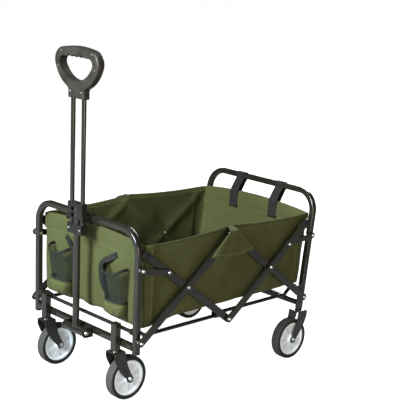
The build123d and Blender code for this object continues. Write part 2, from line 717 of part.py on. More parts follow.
def grip_shell(toward):
    """One half of the grip, hollow, with a walled finger hole and a boss at each screw."""
    split_plane = Plane.YZ.offset(HANDLE_X + toward * GRIP_SPLIT / 2)
    depth = toward * (GRIP_HALF_T - GRIP_SPLIT / 2)
    inside = depth - toward * GRIP_SKIN
    with BuildPart() as shell:
        extrude(grip_outline(split_plane), amount=depth)
        fillet(shell.faces().sort_by(Axis.X)[-1 if toward > 0 else 0].edges(), GRIP_EDGE_R)
        extrude(grip_outline(split_plane, GRIP_WALL), amount=inside, mode=Mode.SUBTRACT)
        extrude(finger_hole(split_plane, GRIP_WALL), amount=inside)
        with BuildSketch(split_plane):
            with Locations(*screw_points[2:]):
                Circle(BOSS_R)
        extrude(amount=inside)
        extrude(finger_hole(split_plane), amount=depth, mode=Mode.SUBTRACT)
        with BuildSketch(split_plane):
            with Locations(*screw_points):
                Circle(SCREW_R + RUN_GAP)
        extrude(amount=depth, mode=Mode.SUBTRACT)
        with BuildSketch(Plane.XY.move(Location((HANDLE_X, 0, GRIP_Z)))):
            with Locations(*rod_places):
                Circle(ROD_R + RUN_GAP)
        extrude(amount=ROD_INSERT + FIT_GAP, mode=Mode.SUBTRACT)
    return shell.part


save(grip_shell(1), "grip_front_shell")
save(grip_shell(-1), "grip_rear_shell")

with BuildPart() as upper_handle_fasteners:
    for (y, z), half in [(point, GRIP_HALF_T) for point in screw_points] + [
            ((y, slider_mid_z), SLIDER_X / 2) for x, y in rod_places]:
        back = Plane(origin=(HANDLE_X - half - HEAD_GAP, y, z), x_dir=(0, 1, 0), z_dir=(1, 0, 0))
        pin(back, 2 * (half + HEAD_GAP), SCREW_R, SCREW_HEAD_R, SCREW_HEAD_H, SCREW_HEAD_R, SCREW_HEAD_H)
save(upper_handle_fasteners.part, "upper_handle_fasteners")

# Plastic clip on the front top bar: a channel round the bar and two prongs beside the guide
with BuildPart() as handle_clip:
    bar_face = HALF_BASE + TUBE / 2 + FIT_GAP
    half_y = GUIDE_Y / 2 + SEAT_GAP + PRONG_T
    with BuildSketch(Plane.XZ):
        with Locations((bar_face + CLIP_T, FRONT_BAR_Z)):
            Rectangle(CLIP_LIP + CLIP_T, TUBE + 2 * (FIT_GAP + CLIP_T), align=(Align.MAX, Align.CENTER))
        with Locations((bar_face, FRONT_BAR_Z)):
            Rectangle(CLIP_LIP, TUBE + 2 * FIT_GAP, align=(Align.MAX, Align.CENTER), mode=Mode.SUBTRACT)
    extrude(amount=half_y, both=True)
    prong_l = HANDLE_X + GUIDE_X / 2 - bar_face - CLIP_T
    with BuildSketch(Plane.YZ.offset(bar_face + CLIP_T)):
        with Locations(*[(sign * (half_y - PRONG_T / 2), FRONT_BAR_Z) for side, sign in SIDES]):
            Rectangle(PRONG_T, PRONG_H)
    extrude(amount=prong_l)
    fillet(handle_clip.edges().filter_by(Axis.Z).group_by(Axis.X)[-1], PRONG_T / 3)
save(handle_clip.part, "handle_clip")


def floor_bars(rod_x, toward, bar_y):
    """Pair of folding bars, each cranked down from its eye on a floor rod and reaching the tub's middle."""
    end_x = BAR_MID_X + toward * BAR_OVERLAP
    with BuildPart() as bars:
        for side, sign in SIDES:
            eye = across_plane(rod_x, sign * bar_y, FLOOR_ROD_Z)
            with BuildLine(eye):
                run = toward * CRANK_START
                FilletPolyline((0, 0), (run, 0), (run + toward * CRANK_RUN, -BAR_DROP),
                               (end_x - rod_x, -BAR_DROP), radius=CRANK_R)
            with BuildSketch(ahead_plane(rod_x, sign * bar_y, FLOOR_ROD_Z)):
                Circle(FLOOR_BAR_R)
                Circle(FLOOR_BAR_R - TUBE_WALL, mode=Mode.SUBTRACT)
            sweep()
            with BuildSketch(eye):
                Circle(BAR_EYE_R)
            extrude(amount=BAR_EYE_W / 2, both=True)
            with BuildSketch(eye):
                Circle(FLOOR_ROD_R + RUN_GAP)
            extrude(amount=BAR_EYE_W, both=True, mode=Mode.SUBTRACT)
    return bars.part


save(floor_bars(HALF_BASE, -1, FRONT_BAR_Y), "front_floor_bars")
save(floor_bars(REAR_ROD_X, 1, REAR_BAR_Y), "rear_floor_bars")

# Moulded hinge blocks on the middle ends of the rear floor bars
with BuildPart() as centre_brackets:
    for side, sign in SIDES:
        with BuildSketch(ahead_plane(BAR_MID_X, sign * REAR_BAR_Y, FLOOR_BAR_Z)):
            with Locations((0, FLOOR_BAR_R)):
                Rectangle(HINGE_BLOCK_Y, FLOOR_BAR_R + HINGE_BLOCK_DROP, align=(Align.CENTER, Align.MAX))
            Circle(FLOOR_BAR_R + RUN_GAP, mode=Mode.SUBTRACT)
        extrude(amount=HINGE_BLOCK_X / 2, both=True)
    fillet(centre_brackets.edges().filter_by(Axis.Y).group_by(Axis.Z)[0], CLIP_T)
save(centre_brackets.part, "centre_brackets")


def tub_profile(inset, top_z):
    """Side outline of the tub, inset by a wall, with its peaks at mid length or an open top."""
    low = TUB_FLOOR_Z + inset
    front = FRONT_WALL_X - inset
    with BuildSketch(Plane.XZ) as profile:
        with BuildLine():
            corners = [(rear_wall_x(top_z) + inset, top_z), (rear_wall_x(low) + inset, low),
                       (front, low), (front, top_z)]
            Polyline(*corners)
            if inset:
                Line(corners[-1], corners[0])
            else:
                peak = (0, top_z + TUB_PEAK_RISE)
                for end in (corners[-1], corners[0]):
                    middle = (end[0] / 2, top_z + TUB_PEAK_RISE / 2 - TUB_SAG)
                    ThreePointArc(end, middle, peak)
        make_face()
    return profile.sketch


def end_wall_crown(plane, top):
    """Raised, gently arched top of an end wall, drawn from the wall's corners at height top."""
    with BuildSketch(plane) as crown:
        with BuildLine():
            arc = ThreePointArc((-TUB_HALF_Y, top), (0, top + END_WALL_RISE), (TUB_HALF_Y, top))
            Line(arc @ 1, arc @ 0)
        make_face()
    return crown.sketch


# Fabric tub, open at the top
wall_plane = Plane(origin=(rear_wall_x(PIVOT_Z), 0, PIVOT_Z), x_dir=(0, 1, 0), z_dir=(1, 0, LEAN))
with BuildPart() as tub:
    extrude(tub_profile(0, TUB_CORNER_Z), amount=TUB_HALF_Y, both=True)
    hollow = tub_profile(TUB_WALL, TUB_CORNER_Z + 2 * TUB_PEAK_RISE)
    extrude(hollow, amount=TUB_HALF_Y - TUB_WALL, both=True, mode=Mode.SUBTRACT)
    extrude(end_wall_crown(Plane.YZ.offset(FRONT_WALL_X), TUB_CORNER_Z - TUB_SAG), amount=-TUB_WALL)
    rear_crown_t = (TUB_CORNER_Z - TUB_SAG - PIVOT_Z) * lean_scale
    extrude(end_wall_crown(wall_plane, rear_crown_t), amount=TUB_WALL / lean_scale)
save(tub.part, "tub")

# Triangular flaps that cover the top middle pivots
flap_y = FACE_Y + HEAD_GAP + RIVET_HEAD_H + SEAT_GAP
flap_top_z = TUB_CORNER_Z + TUB_PEAK_RISE
with BuildPart() as tub_flaps:
    for side, sign in SIDES:
        apron = Plane(origin=(0, sign * flap_y, 0), x_dir=(-sign, 0, 0), z_dir=(0, sign, 0))
        with BuildSketch(apron):
            with BuildLine():
                foot_z = flap_top_z - FLAP_H
                Polyline((-FLAP_HALF_W, foot_z), (-FLAP_TOP_HALF_W, flap_top_z),
                         (FLAP_TOP_HALF_W, flap_top_z), (FLAP_HALF_W, foot_z))
                ThreePointArc((FLAP_HALF_W, foot_z), (0, foot_z - FLAP_CURVE), (-FLAP_HALF_W, foot_z))
            make_face()
        extrude(amount=FLAP_T)
        with BuildSketch(Plane.XY.offset(flap_top_z - FLAP_T)):
            with Locations((0, sign * (TUB_HALF_Y + SEAT_GAP))):
                bridge = flap_y - TUB_HALF_Y - SEAT_GAP
                Rectangle(2 * FLAP_TOP_HALF_W, bridge,
                          align=(Align.CENTER, Align.MIN if sign > 0 else Align.MAX))
        extrude(amount=FLAP_T)
save(tub_flaps.part, "tub_flaps")


def pocket(sign, back_x, toward):
    """Open bag on an end wall, wider and deeper at its mouth; back_x gives the wall at a height."""
    with BuildPart() as bag:
        for inset, mode in ((0, Mode.ADD), (POCKET_WALL, Mode.SUBTRACT)):
            for z, width, depth in ((POCKET_Z + inset, POCKET_W - POCKET_FLARE, POCKET_FOOT_DEPTH),
                                    (POCKET_Z + POCKET_H, POCKET_W, POCKET_DEPTH)):
                middle_x = back_x(z) + toward * (SEAT_GAP + depth / 2)
                with BuildSketch(Plane.XY.move(Location((middle_x, sign * POCKET_Y, z)))):
                    Rectangle(depth - 2 * inset, width - 2 * inset)
                    fillet(vertices().group_by(Axis.X)[-1 if toward > 0 else 0], POCKET_R - inset)
            loft(mode=mode)
    return bag.part


for name, back_x, toward in (("front_pockets", lambda z: FRONT_WALL_X, 1), ("rear_pockets", rear_wall_x, -1)):
    with BuildPart() as pockets:
        for side, sign in SIDES:
            add(pocket(sign, back_x, toward))
    save(pockets.part, name)

# Webbing loops that tie the rear wall to the push bar
strap_plane = Plane(origin=lean_plane.origin, x_dir=lean_plane.z_dir, z_dir=(0, -1, 0))
bar_reach = TUBE / 2 + SEAT_GAP + STRAP_T / 2
wall_n = REAR_WALL_SETBACK / lean_scale
wall_top_t = (TUB_CORNER_Z + END_WALL_RISE - PIVOT_Z) * lean_scale
inside_n = wall_n + TUB_WALL + SEAT_GAP + STRAP_T / 2
outside_n = wall_n - SEAT_GAP - STRAP_T / 2
with BuildPart() as rear_straps:
    with BuildSketch(strap_plane):
        with BuildLine():
            Polyline((inside_n, wall_top_t - STRAP_INSIDE), (inside_n, wall_top_t + 2 * STRAP_T),
                     (bar_reach, rear_bar_t - bar_reach), (bar_reach, rear_bar_t + bar_reach),
                     (-bar_reach, rear_bar_t + bar_reach), (-bar_reach, rear_bar_t - bar_reach),
                     (outside_n, wall_top_t - 2 * STRAP_T), (outside_n, wall_top_t - STRAP_OUTSIDE))
        trace(line_width=STRAP_T)
    strap = extrude(amount=STRAP_W / 2, both=True, mode=Mode.PRIVATE)
    with Locations((0, -STRAP_Y, 0), (0, STRAP_Y, 0)):
        add(strap)
save(rear_straps.part, "rear_straps")
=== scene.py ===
"""Looks of a folding wagon with a pull handle: cloth, webbing, wheels, finishes, light and camera."""
import json
import logging
import math
from dataclasses import dataclass, field, replace
from enum import Enum
from typing import Callable, Sequence, Union

import bpy
import numpy as np
from mathutils import Matrix, Vector


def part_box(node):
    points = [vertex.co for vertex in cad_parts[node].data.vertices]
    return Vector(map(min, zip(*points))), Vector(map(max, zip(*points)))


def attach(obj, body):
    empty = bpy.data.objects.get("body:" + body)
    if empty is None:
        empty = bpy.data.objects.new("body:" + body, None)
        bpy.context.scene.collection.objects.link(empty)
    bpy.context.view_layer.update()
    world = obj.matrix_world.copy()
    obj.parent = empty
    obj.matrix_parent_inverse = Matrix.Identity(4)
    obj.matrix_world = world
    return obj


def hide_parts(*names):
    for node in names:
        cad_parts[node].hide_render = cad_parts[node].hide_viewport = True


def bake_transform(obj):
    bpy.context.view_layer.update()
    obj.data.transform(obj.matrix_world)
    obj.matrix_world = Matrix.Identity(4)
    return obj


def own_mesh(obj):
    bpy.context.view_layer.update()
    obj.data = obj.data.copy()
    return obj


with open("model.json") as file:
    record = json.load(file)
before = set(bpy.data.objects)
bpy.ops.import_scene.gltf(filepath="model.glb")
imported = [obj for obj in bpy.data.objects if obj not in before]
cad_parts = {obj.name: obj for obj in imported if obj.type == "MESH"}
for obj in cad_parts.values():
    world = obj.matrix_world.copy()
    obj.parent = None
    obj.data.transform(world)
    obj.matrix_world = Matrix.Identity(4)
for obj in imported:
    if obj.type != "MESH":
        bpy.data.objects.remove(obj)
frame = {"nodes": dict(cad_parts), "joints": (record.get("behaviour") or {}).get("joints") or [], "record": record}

LOG = logging.getLogger("wagon")
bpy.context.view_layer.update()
IMAGE_WIDTH = 400
WAVE_PHASE = 1.7
TUBE_SIDES = 12
TUBE_TIP = 0.02
NO_SEAM = 1.0
UPWARDS = np.array([0.0, 0.0, 1.0])

Array = np.ndarray
Material = bpy.types.Material
Piece = bpy.types.Object
Number = Union[int, float]
Colour = tuple[float, float, float, float]
Pair = tuple[float, float]
Waves = Sequence[tuple[float, float, float]]


class Side(Enum):
    """The two sides of the wagon, as the sign of Y."""

    LEFT = 1
    RIGHT = -1


class End(Enum):
    """The two ends of the wagon, as the sign of X."""

    FRONT = 1
    REAR = -1


def operator(operation: str) -> Callable[..., "Signal"]:
    """A signal's method that applies one Math operation; comparisons give 1 or 0."""
    return lambda signal, *others: signal.math(operation, *others)


class Signal:
    """A shader value that can be used in plain arithmetic; each operation adds one Math node."""

    def __init__(self, shader: "Shader", socket: bpy.types.NodeSocket) -> None:
        """Keep the shader and the output socket that carries the value."""
        self.shader = shader
        self.socket = socket

    def math(self, operation: str, *others: "Operand") -> "Signal":
        """Apply a Math node's operation to this value and others."""
        return self.shader.math(operation, self, *others)

    def __rsub__(self, other: Number) -> "Signal":
        """Difference, from the right."""
        return self.shader.math("SUBTRACT", other, self)

    __add__ = operator("ADD")
    __sub__ = operator("SUBTRACT")
    __mul__ = operator("MULTIPLY")
    __gt__ = operator("GREATER_THAN")
    __lt__ = operator("LESS_THAN")
    __abs__ = operator("ABSOLUTE")

    def wave(self, length: float) -> "Signal":
        """Sine of a place in metres, half a wave to each length."""
        return (self * (math.pi / length)).math("SINE")


Operand = Union[Signal, Number]
Value = Union[Signal, Number, Colour]
Pattern = tuple[Signal, ...]


class Shader:
    """The nodes of one material or world, and the means to add to them."""

    def __init__(self, block: Union[Material, bpy.types.World], surface: str) -> None:
        """Open a block's nodes.

        Args:
            block: the material or world.
            surface: the name of the shader node that it ends in.
        """
        block.use_nodes = True
        self.block = block
        self.tree = block.node_tree
        self.surface = self.tree.nodes[surface]

    @classmethod
    def material(cls, name: str) -> "Shader":
        """Start a material."""
        return cls(bpy.data.materials.new(name), "Principled BSDF")

    @classmethod
    def world(cls, name: str) -> "Shader":
        """Start a world."""
        return cls(bpy.data.worlds.new(name), "Background")

    def put(self, value: Value, socket: bpy.types.NodeSocket) -> None:
        """Link a signal to an input socket, or set a plain value there.

        Args:
            value: the signal or value.
            socket: the input socket.
        """
        if isinstance(value, Signal):
            self.tree.links.new(value.socket, socket)
        else:
            socket.default_value = value

    def node(self, kind: str, settings: dict | None = None, inputs: dict | None = None,
             output: int | str = 0) -> Signal:
        """Add any node.

        Args:
            kind: the node's type name.
            settings: its properties, set first.
            inputs: values or signals for its sockets, by name or index.
            output: which output socket to return.

        Returns:
            The chosen output as a signal.
        """
        made = self.tree.nodes.new(kind)
        for name, value in (settings or {}).items():
            setattr(made, name, value)
        for key, value in (inputs or {}).items():
            self.put(value, made.inputs[key])
        return Signal(self, made.outputs[output])

    def math(self, operation: str, *values: Operand) -> Signal:
        """Add a Math node over the given values."""
        return self.node("ShaderNodeMath", {"operation": operation}, dict(enumerate(values)))

    def place(self) -> Signal:
        """Position on the piece, in metres."""
        return self.node("ShaderNodeTexCoord", output="Object")

    def cloth(self) -> tuple[Signal, Signal]:
        """The cloth's own coordinates in metres, along and down."""
        split = self.node("ShaderNodeSeparateXYZ", inputs={0: self.node("ShaderNodeUVMap")})
        return split, Signal(self, split.socket.node.outputs[1])

    def attribute(self, name: str) -> Signal:
        """A number that the mesh carries at each point."""
        return self.node("ShaderNodeAttribute", {"attribute_name": name}, output="Fac")

    def camera_ray(self) -> Signal:
        """1 where the camera looks straight at the surface, else 0; for the studio alone."""
        return self.node("ShaderNodeLightPath", output="Is Camera Ray")

    def noise(self, scale: float, detail: float, roughness: float = 0.55) -> Signal:
        """Soft noise over the place on the piece, from about 0.2 to 0.8.

        Args:
            scale: cells per metre.
            detail: octaves.
            roughness: weight of the finer octaves.

        Returns:
            The noise.
        """
        inputs = {"Vector": self.place(), "Scale": scale, "Detail": detail, "Roughness": roughness}
        return self.node("ShaderNodeTexNoise", inputs=inputs)

    def cells(self, scale: float) -> Signal:
        """Distance to the middle of the nearest of many uneven cells, so many to the metre."""
        return self.node("ShaderNodeTexVoronoi", inputs={"Vector": self.place(), "Scale": scale})

    def mix(self, factor: Value, first: Value, second: Value) -> Signal:
        """Mix two colours."""
        return self.node("ShaderNodeMix", {"data_type": "RGBA"}, {0: factor, 6: first, 7: second}, 2)

    def fit(self, value: Signal, low: float, high: float, to_low: float = 0.0,
            to_high: float = 1.0) -> Signal:
        """Map a value's range to another, clamped."""
        inputs = {"Value": value, 1: low, 2: high, 3: to_low, 4: to_high}
        return self.node("ShaderNodeMapRange", {"clamp": True}, inputs)

    def spread(self, noise: Signal, to_low: float, to_high: float) -> Signal:
        """Map the range that noise mostly keeps to, 0.3 to 0.7, to another."""
        return self.fit(noise, 0.3, 0.7, to_low, to_high)

    def bump(self, height: Signal, distance: float, strength: float) -> Signal:
        """Turn a height from 0 to 1 into a surface normal.

        Args:
            height: the relief, 0 to 1.
            distance: metres that a height of 1 stands for.
            strength: how much of it shows.

        Returns:
            A normal for the surface shader.
        """
        inputs = {"Height": height, "Distance": distance, "Strength": strength}
        return self.node("ShaderNodeBump", inputs=inputs)

    def dress(self, **sockets: Value) -> Union[Material, bpy.types.World]:
        """Set the surface shader's sockets, with underscores for the spaces in their names.

        Args:
            **sockets: values or signals, such as Base_Color or Coat_Weight.

        Returns:
            The finished material or world.
        """
        for name, value in sockets.items():
            self.put(value, self.surface.inputs[name.replace("_", " ")])
        return self.block


def rgb(red: float, green: float, blue: float) -> Colour:
    """A linear colour with full cover."""
    return (red, green, blue, 1.0)


@dataclass(frozen=True)
class Finish:
    """A surface between two colours, with a range of roughness and a relief of some depth in metres."""

    name: str
    base: Colour
    other: Colour
    rough: Pair
    specular: float
    depth: float
    relief: float
    more: dict[str, float] = field(default_factory=dict)

    def pattern(self, shader: Shader) -> Pattern:
        """Tint between the colours, roughness noise, relief, and (mask, colour) pairs to lay over."""
        raise NotImplementedError

    def build(self) -> Material:
        """Make the material.

        Returns:
            The material.
        """
        shader = Shader.material(self.name)
        tint, grain, height, *overs = self.pattern(shader)
        colour = shader.mix(tint, self.base, self.other)
        for mask, over in overs:
            colour = shader.mix(mask, colour, over)
        return shader.dress(Base_Color=colour, Roughness=shader.spread(grain, *self.rough),
                            Specular_IOR_Level=self.specular,
                            Normal=shader.bump(height, self.depth, self.relief), **self.more)


@dataclass(frozen=True)
class PowderCoat(Finish):
    """Satin powder coat over steel tube: orange peel, slight colour drift and dulled patches."""

    def pattern(self, shader: Shader) -> Pattern:
        """Dull patches and fine specks in the colour, over the peel."""
        patch, speck, peel = shader.noise(14.0, 4.0), shader.noise(1364.0, 1.0), shader.noise(620.0, 2.0)
        return shader.fit(patch * 0.7 + speck * 0.3, 0.35, 0.65), patch, peel


@dataclass(frozen=True)
class BrightSteel(Finish):
    """Zinc-plated rivets, pins and screws with fine turning marks."""

    def pattern(self, shader: Shader) -> Pattern:
        """Stains in the colour, over a fine grain."""
        grain, stain = shader.noise(1400.0, 2.0), shader.noise(130.0, 3.0)
        return shader.fit(stain, 0.4, 0.7), grain, grain


@dataclass(frozen=True)
class Moulded(Finish):
    """Injection-moulded plastic with a spark-eroded texture."""

    cells_per_metre: float = 700.0

    def pattern(self, shader: Shader) -> Pattern:
        """Slow drift in the colour, over the cells of the mould's texture."""
        drift, cells = shader.noise(26.0, 4.0), shader.cells(self.cells_per_metre)
        return shader.fit(drift, 0.35, 0.7), drift, cells


@dataclass(frozen=True)
class HubPlastic(Finish):
    """Pale moulded wheel centre with faint radial flow marks, carried as the point value flow."""

    def pattern(self, shader: Shader) -> Pattern:
        """Flow marks and clouds in the colour, over a fine grain."""
        cloud, grain = shader.noise(70.0, 4.0), shader.noise(1800.0, 2.0)
        return shader.fit(shader.attribute("flow") * 0.75 + cloud * 0.25, 0.15, 0.85), cloud, grain


@dataclass(frozen=True)
class TyreRubber(Finish):
    """Solid tyre: black flanks and a scuffed, greyer tread, carried as the point value wear."""

    def pattern(self, shader: Shader) -> Pattern:
        """Mottled scuffing where the tyre is worn."""
        mottle = shader.noise(420.0, 4.0)
        return shader.attribute("wear") * shader.spread(mottle, 0.45, 1.0), mottle, mottle


@dataclass(frozen=True)
class Canvas(Finish):
    """Woven polyester in olive: plain weave, slubs, sun-faded patches and lock-stitched hems.

    The cloth coordinates run along the edge and down from it, in metres. The point value hem says how
    deep the hem is, and seam how far the nearest corner seam is.
    """

    thread: Colour = rgb(0.105, 0.110, 0.044)
    yarn: float = 0.0011
    stitch: float = 0.0045
    stitch_gap: float = -0.45
    thread_half: float = 0.0009
    seam_place: float = 0.010
    groove_width: float = 0.004
    stitched: bool = True

    def pattern(self, shader: Shader) -> Pattern:
        """The weave with slubs and faded clouds, and dashes of thread in a groove along each hem.

        Args:
            shader: the open material.

        Returns:
            Tint, noise for the roughness, relief, and the thread to lay over.
        """
        along, down = shader.cloth()
        over, under = along.wave(self.yarn), down.wave(self.yarn)
        warp = (over * under) > 0.0
        weave = warp * abs(over) + (1 - warp) * abs(under)
        slub, cloud = shader.noise(900.0, 2.0), shader.noise(9.0, 5.0, 0.6)
        tint = shader.spread(cloud * 0.6 + slub * 0.2 + weave * 0.2, 0.0, 1.0)
        height = weave * 0.45 + slub * 0.35
        if not self.stitched:
            return tint, slub, height
        edge = abs(down - shader.attribute("hem"))
        seam = abs(shader.attribute("seam") - self.seam_place)
        lines = [(near < self.thread_half) * (axis.wave(self.stitch) > self.stitch_gap)
                 for near, axis in ((edge, along), (seam, down))]
        thread = lines[0].math("MAXIMUM", lines[1])
        groove = shader.fit(edge.math("MINIMUM", seam), 0.0, self.groove_width)
        return tint, slub, height * groove + groove * 0.6 + thread * 0.5, (thread, self.thread)


@dataclass(frozen=True)
class Webbing(Finish):
    """Black woven tape: ribs across it, with a slanted twill over them."""

    rib: float = 0.0016

    def pattern(self, shader: Shader) -> Pattern:
        """The ribs and the twill, with fuzz in the colour.

        Args:
            shader: the open material.

        Returns:
            Tint, noise for the roughness, and relief.
        """
        along, down = shader.cloth()
        relief = abs(down.wave(self.rib)) * 0.6 + abs((along + down * 0.5).wave(self.rib)) * 0.4
        fuzz = shader.noise(700.0, 3.0)
        return shader.fit(relief * 0.6 + fuzz * 0.4, 0.25, 0.8), fuzz, relief


@dataclass(frozen=True)
class Netting:
    """Knitted mesh: dark yarn around open diamonds, see-through between."""

    name: str = "netting"
    yarn: Colour = rgb(0.0040, 0.0042, 0.0048)
    light: Colour = rgb(0.0110, 0.0115, 0.0130)
    pitch: float = 0.0036
    open_share: float = 0.60
    depth: float = 0.0006

    def build(self) -> Material:
        """Make the material.

        Returns:
            The material.
        """
        shader = Shader.material(self.name)
        along, down = shader.cloth()
        diamond = abs((along + down).wave(self.pitch)) * abs((along - down).wave(self.pitch))
        hole = diamond > (1.0 - self.open_share)
        return shader.dress(Base_Color=shader.mix(diamond, self.light, self.yarn), Roughness=0.7,
                            Specular_IOR_Level=0.2, Alpha=1 - hole,
                            Normal=shader.bump(1 - diamond, self.depth, 0.6))


PLAIN = "plain_canvas"
OLIVE = Canvas("olive_canvas", rgb(0.041, 0.042, 0.0118), rgb(0.066, 0.068, 0.0215), rough=(0.74, 0.9),
               specular=0.2, depth=0.0004, relief=0.7, more={"Sheen_Weight": 0.03, "Sheen_Roughness": 0.45})
FINISHES = {
    "frame": PowderCoat("powder_coat", rgb(0.0110, 0.0084, 0.0060), rgb(0.0185, 0.0145, 0.0105),
                        rough=(0.18, 0.28), specular=0.35, depth=0.00004, relief=0.3,
                        more={"Coat_Weight": 0.4, "Coat_Roughness": 0.07}),
    "steel": BrightSteel("bright_steel", rgb(0.70, 0.69, 0.67), rgb(0.52, 0.51, 0.49), rough=(0.22, 0.36),
                         specular=0.5, depth=0.00005, relief=0.4, more={"Metallic": 1.0}),
    "black_plastic": Moulded("black_plastic", rgb(0.0075, 0.0064, 0.0054), rgb(0.0145, 0.0125, 0.0105),
                             rough=(0.22, 0.36), specular=0.35, depth=0.00004, relief=0.6),
    "grip_plastic": Moulded("grip_plastic", rgb(0.0200, 0.0160, 0.0122), rgb(0.034, 0.0275, 0.0215),
                            rough=(0.34, 0.48), specular=0.35, depth=0.00008, relief=0.6,
                            cells_per_metre=1100.0),
    "hub_plastic": HubPlastic("hub_plastic", rgb(0.78, 0.80, 0.86), rgb(0.56, 0.58, 0.63),
                              rough=(0.34, 0.48), specular=0.5, depth=0.00006, relief=0.4),
    "tyre": TyreRubber("tyre_rubber", rgb(0.010, 0.010, 0.010), rgb(0.060, 0.054, 0.048),
                       rough=(0.62, 0.85), specular=0.3, depth=0.00025, relief=0.6),
    "fabric": OLIVE,
    PLAIN: replace(OLIVE, name=PLAIN, stitched=False),
    "webbing": Webbing("webbing", rgb(0.0050, 0.0045, 0.0036), rgb(0.0150, 0.0136, 0.0108),
                       rough=(0.6, 0.8), specular=0.25, depth=0.0005, relief=0.7),
    "mesh": Netting(),
}
Materials = dict[str, Material]


def dress_frame(finishes: Materials) -> None:
    """Give each carried-over solid its finish by the record's material slot.

    Args:
        finishes: the materials by slot.
    """
    for subpart in frame["record"]["subparts"]:
        node = frame["nodes"][subpart["node"]]
        node.data.materials.clear()
        node.data.materials.append(finishes[subpart["material_slot"]])


@dataclass
class Surface:
    """A mesh as arrays: points, quads, cloth coordinates for each quad corner, and point values."""

    points: Array
    quads: Array
    uvs: Array
    values: dict[str, Array]

    @classmethod
    def grid(cls, points: Array, uv: Array, wrap: bool = False, wrap_rows: bool = False,
             values: dict | None = None, flip: bool = False) -> "Surface":
        """Skin a grid of points with quads.

        Args:
            points: rows by columns by 3.
            uv: cloth coordinates, rows by columns by 2, with one more column or row where the grid closes.
            wrap: join the last column to the first.
            wrap_rows: join the last row to the first.
            values: numbers for each point, rows by columns.
            flip: turn the faces round.

        Returns:
            The surface.
        """
        rows, columns = points.shape[:2]
        row = np.arange(rows if wrap_rows else rows - 1)[:, None]
        column = np.arange(columns if wrap else columns - 1)[None, :]
        corners = ((0, 0), (0, 1), (1, 1), (1, 0))
        quads = np.stack([((row + r) % rows) * columns + (column + c) % columns for r, c in corners], -1)
        uvs = np.stack([uv[row + r, column + c] for r, c in corners], -2)
        if flip:
            quads = quads[..., ::-1]
            uvs = uvs[..., ::-1, :]
        flat = {name: np.broadcast_to(value, (rows, columns)).reshape(-1)
                for name, value in (values or {}).items()}
        return cls(points.reshape(-1, 3), quads.reshape(-1, 4), uvs.reshape(-1, 4, 2), flat)

    @classmethod
    def joined(cls, parts: Sequence["Surface"]) -> "Surface":
        """Put several surfaces that carry the same values into one.

        Args:
            parts: the surfaces.

        Returns:
            The whole.
        """
        starts = np.cumsum([0] + [len(part.points) for part in parts[:-1]])
        return cls(np.concatenate([part.points for part in parts]),
                   np.concatenate([part.quads + start for part, start in zip(parts, starts)]),
                   np.concatenate([part.uvs for part in parts]),
                   {name: np.concatenate([part.values[name] for part in parts]) for name in parts[0].values})

    def area(self) -> float:
        """Area of one face of the sheet: half the cross product of each quad's diagonals, summed."""
        a, b, c, d = np.moveaxis(self.points[self.quads], 1, 0)
        return float(np.linalg.norm(np.cross(c - a, d - b), axis=1).sum() / 2)

    def make(self, name: str, material: Material, thickness: float = 0.0, offset: float = -1.0) -> Piece:
        """Put the arrays into a smooth-shaded mesh object at the origin.

        Args:
            name: the piece's name.
            material: its finish.
            thickness: that of a sheet, which a Solidify modifier gives it.
            offset: on which side of the sheet the thickness lies, from -1 to 1.

        Returns:
            The new object.
        """
        mesh = bpy.data.meshes.new(name)
        mesh.from_pydata(self.points.tolist(), [], self.quads.tolist())
        layer = mesh.uv_layers.new(name="cloth")
        layer.data.foreach_set("uv", self.uvs.astype(np.float32).ravel())
        for key, value in self.values.items():
            mesh.attributes.new(key, "FLOAT", "POINT").data.foreach_set("value", value.astype(np.float32))
        mesh.polygons.foreach_set("use_smooth", np.ones(len(self.quads), bool))
        mesh.materials.append(material)
        mesh.update()
        piece = bpy.data.objects.new(name, mesh)
        bpy.context.scene.collection.objects.link(piece)
        if thickness:
            solid = piece.modifiers.new("thickness", "SOLIDIFY")
            solid.thickness = thickness
            solid.offset = offset
        return piece


def stack(*parts: Array) -> Array:
    """Coordinates side by side, each spread over the shape that they share."""
    return np.stack(np.broadcast_arrays(*parts), -1)


def circle(count: int) -> Array:
    """Even turns round a circle, in radians."""
    return np.linspace(0.0, 2 * math.pi, count, endpoint=False)


def smooth_step(value: Array, low: float, high: float) -> Array:
    """0 below low, 1 above high, and the cubic 3t^2 - 2t^3 between."""
    t = np.clip((value - low) / (high - low), 0.0, 1.0)
    return t * t * (3.0 - 2.0 * t)


def band(value: Array, rise: Pair, fall: Pair) -> Array:
    """1 between a smooth rise and a smooth fall, else 0."""
    return smooth_step(value, *rise) * (1 - smooth_step(value, *fall))


def bell(value: Array, centre: Array | float, width: float) -> Array:
    """A bell curve: 1 at the centre, and 1/e at a width from it."""
    return np.exp(-((value - centre) / width) ** 2)


def rounded(value: Array, power: float) -> Array:
    """A value's sign times its size to a power, which turns a circle into a rounder or squarer oval."""
    return np.sign(value) * np.abs(value) ** power


def ripple(first: Array, second: Array, waves: Waves) -> Array:
    """Cloth folds: the sum of sines over two coordinates.

    Args:
        first: coordinate along the cloth, in metres.
        second: coordinate down the cloth, in metres.
        waves: radians per metre along and down, and the height, of each sine.

    Returns:
        The height of the folds, in metres.
    """
    return sum(height * np.sin(along * first + down * second + WAVE_PHASE * index)
               for index, (along, down, height) in enumerate(waves))


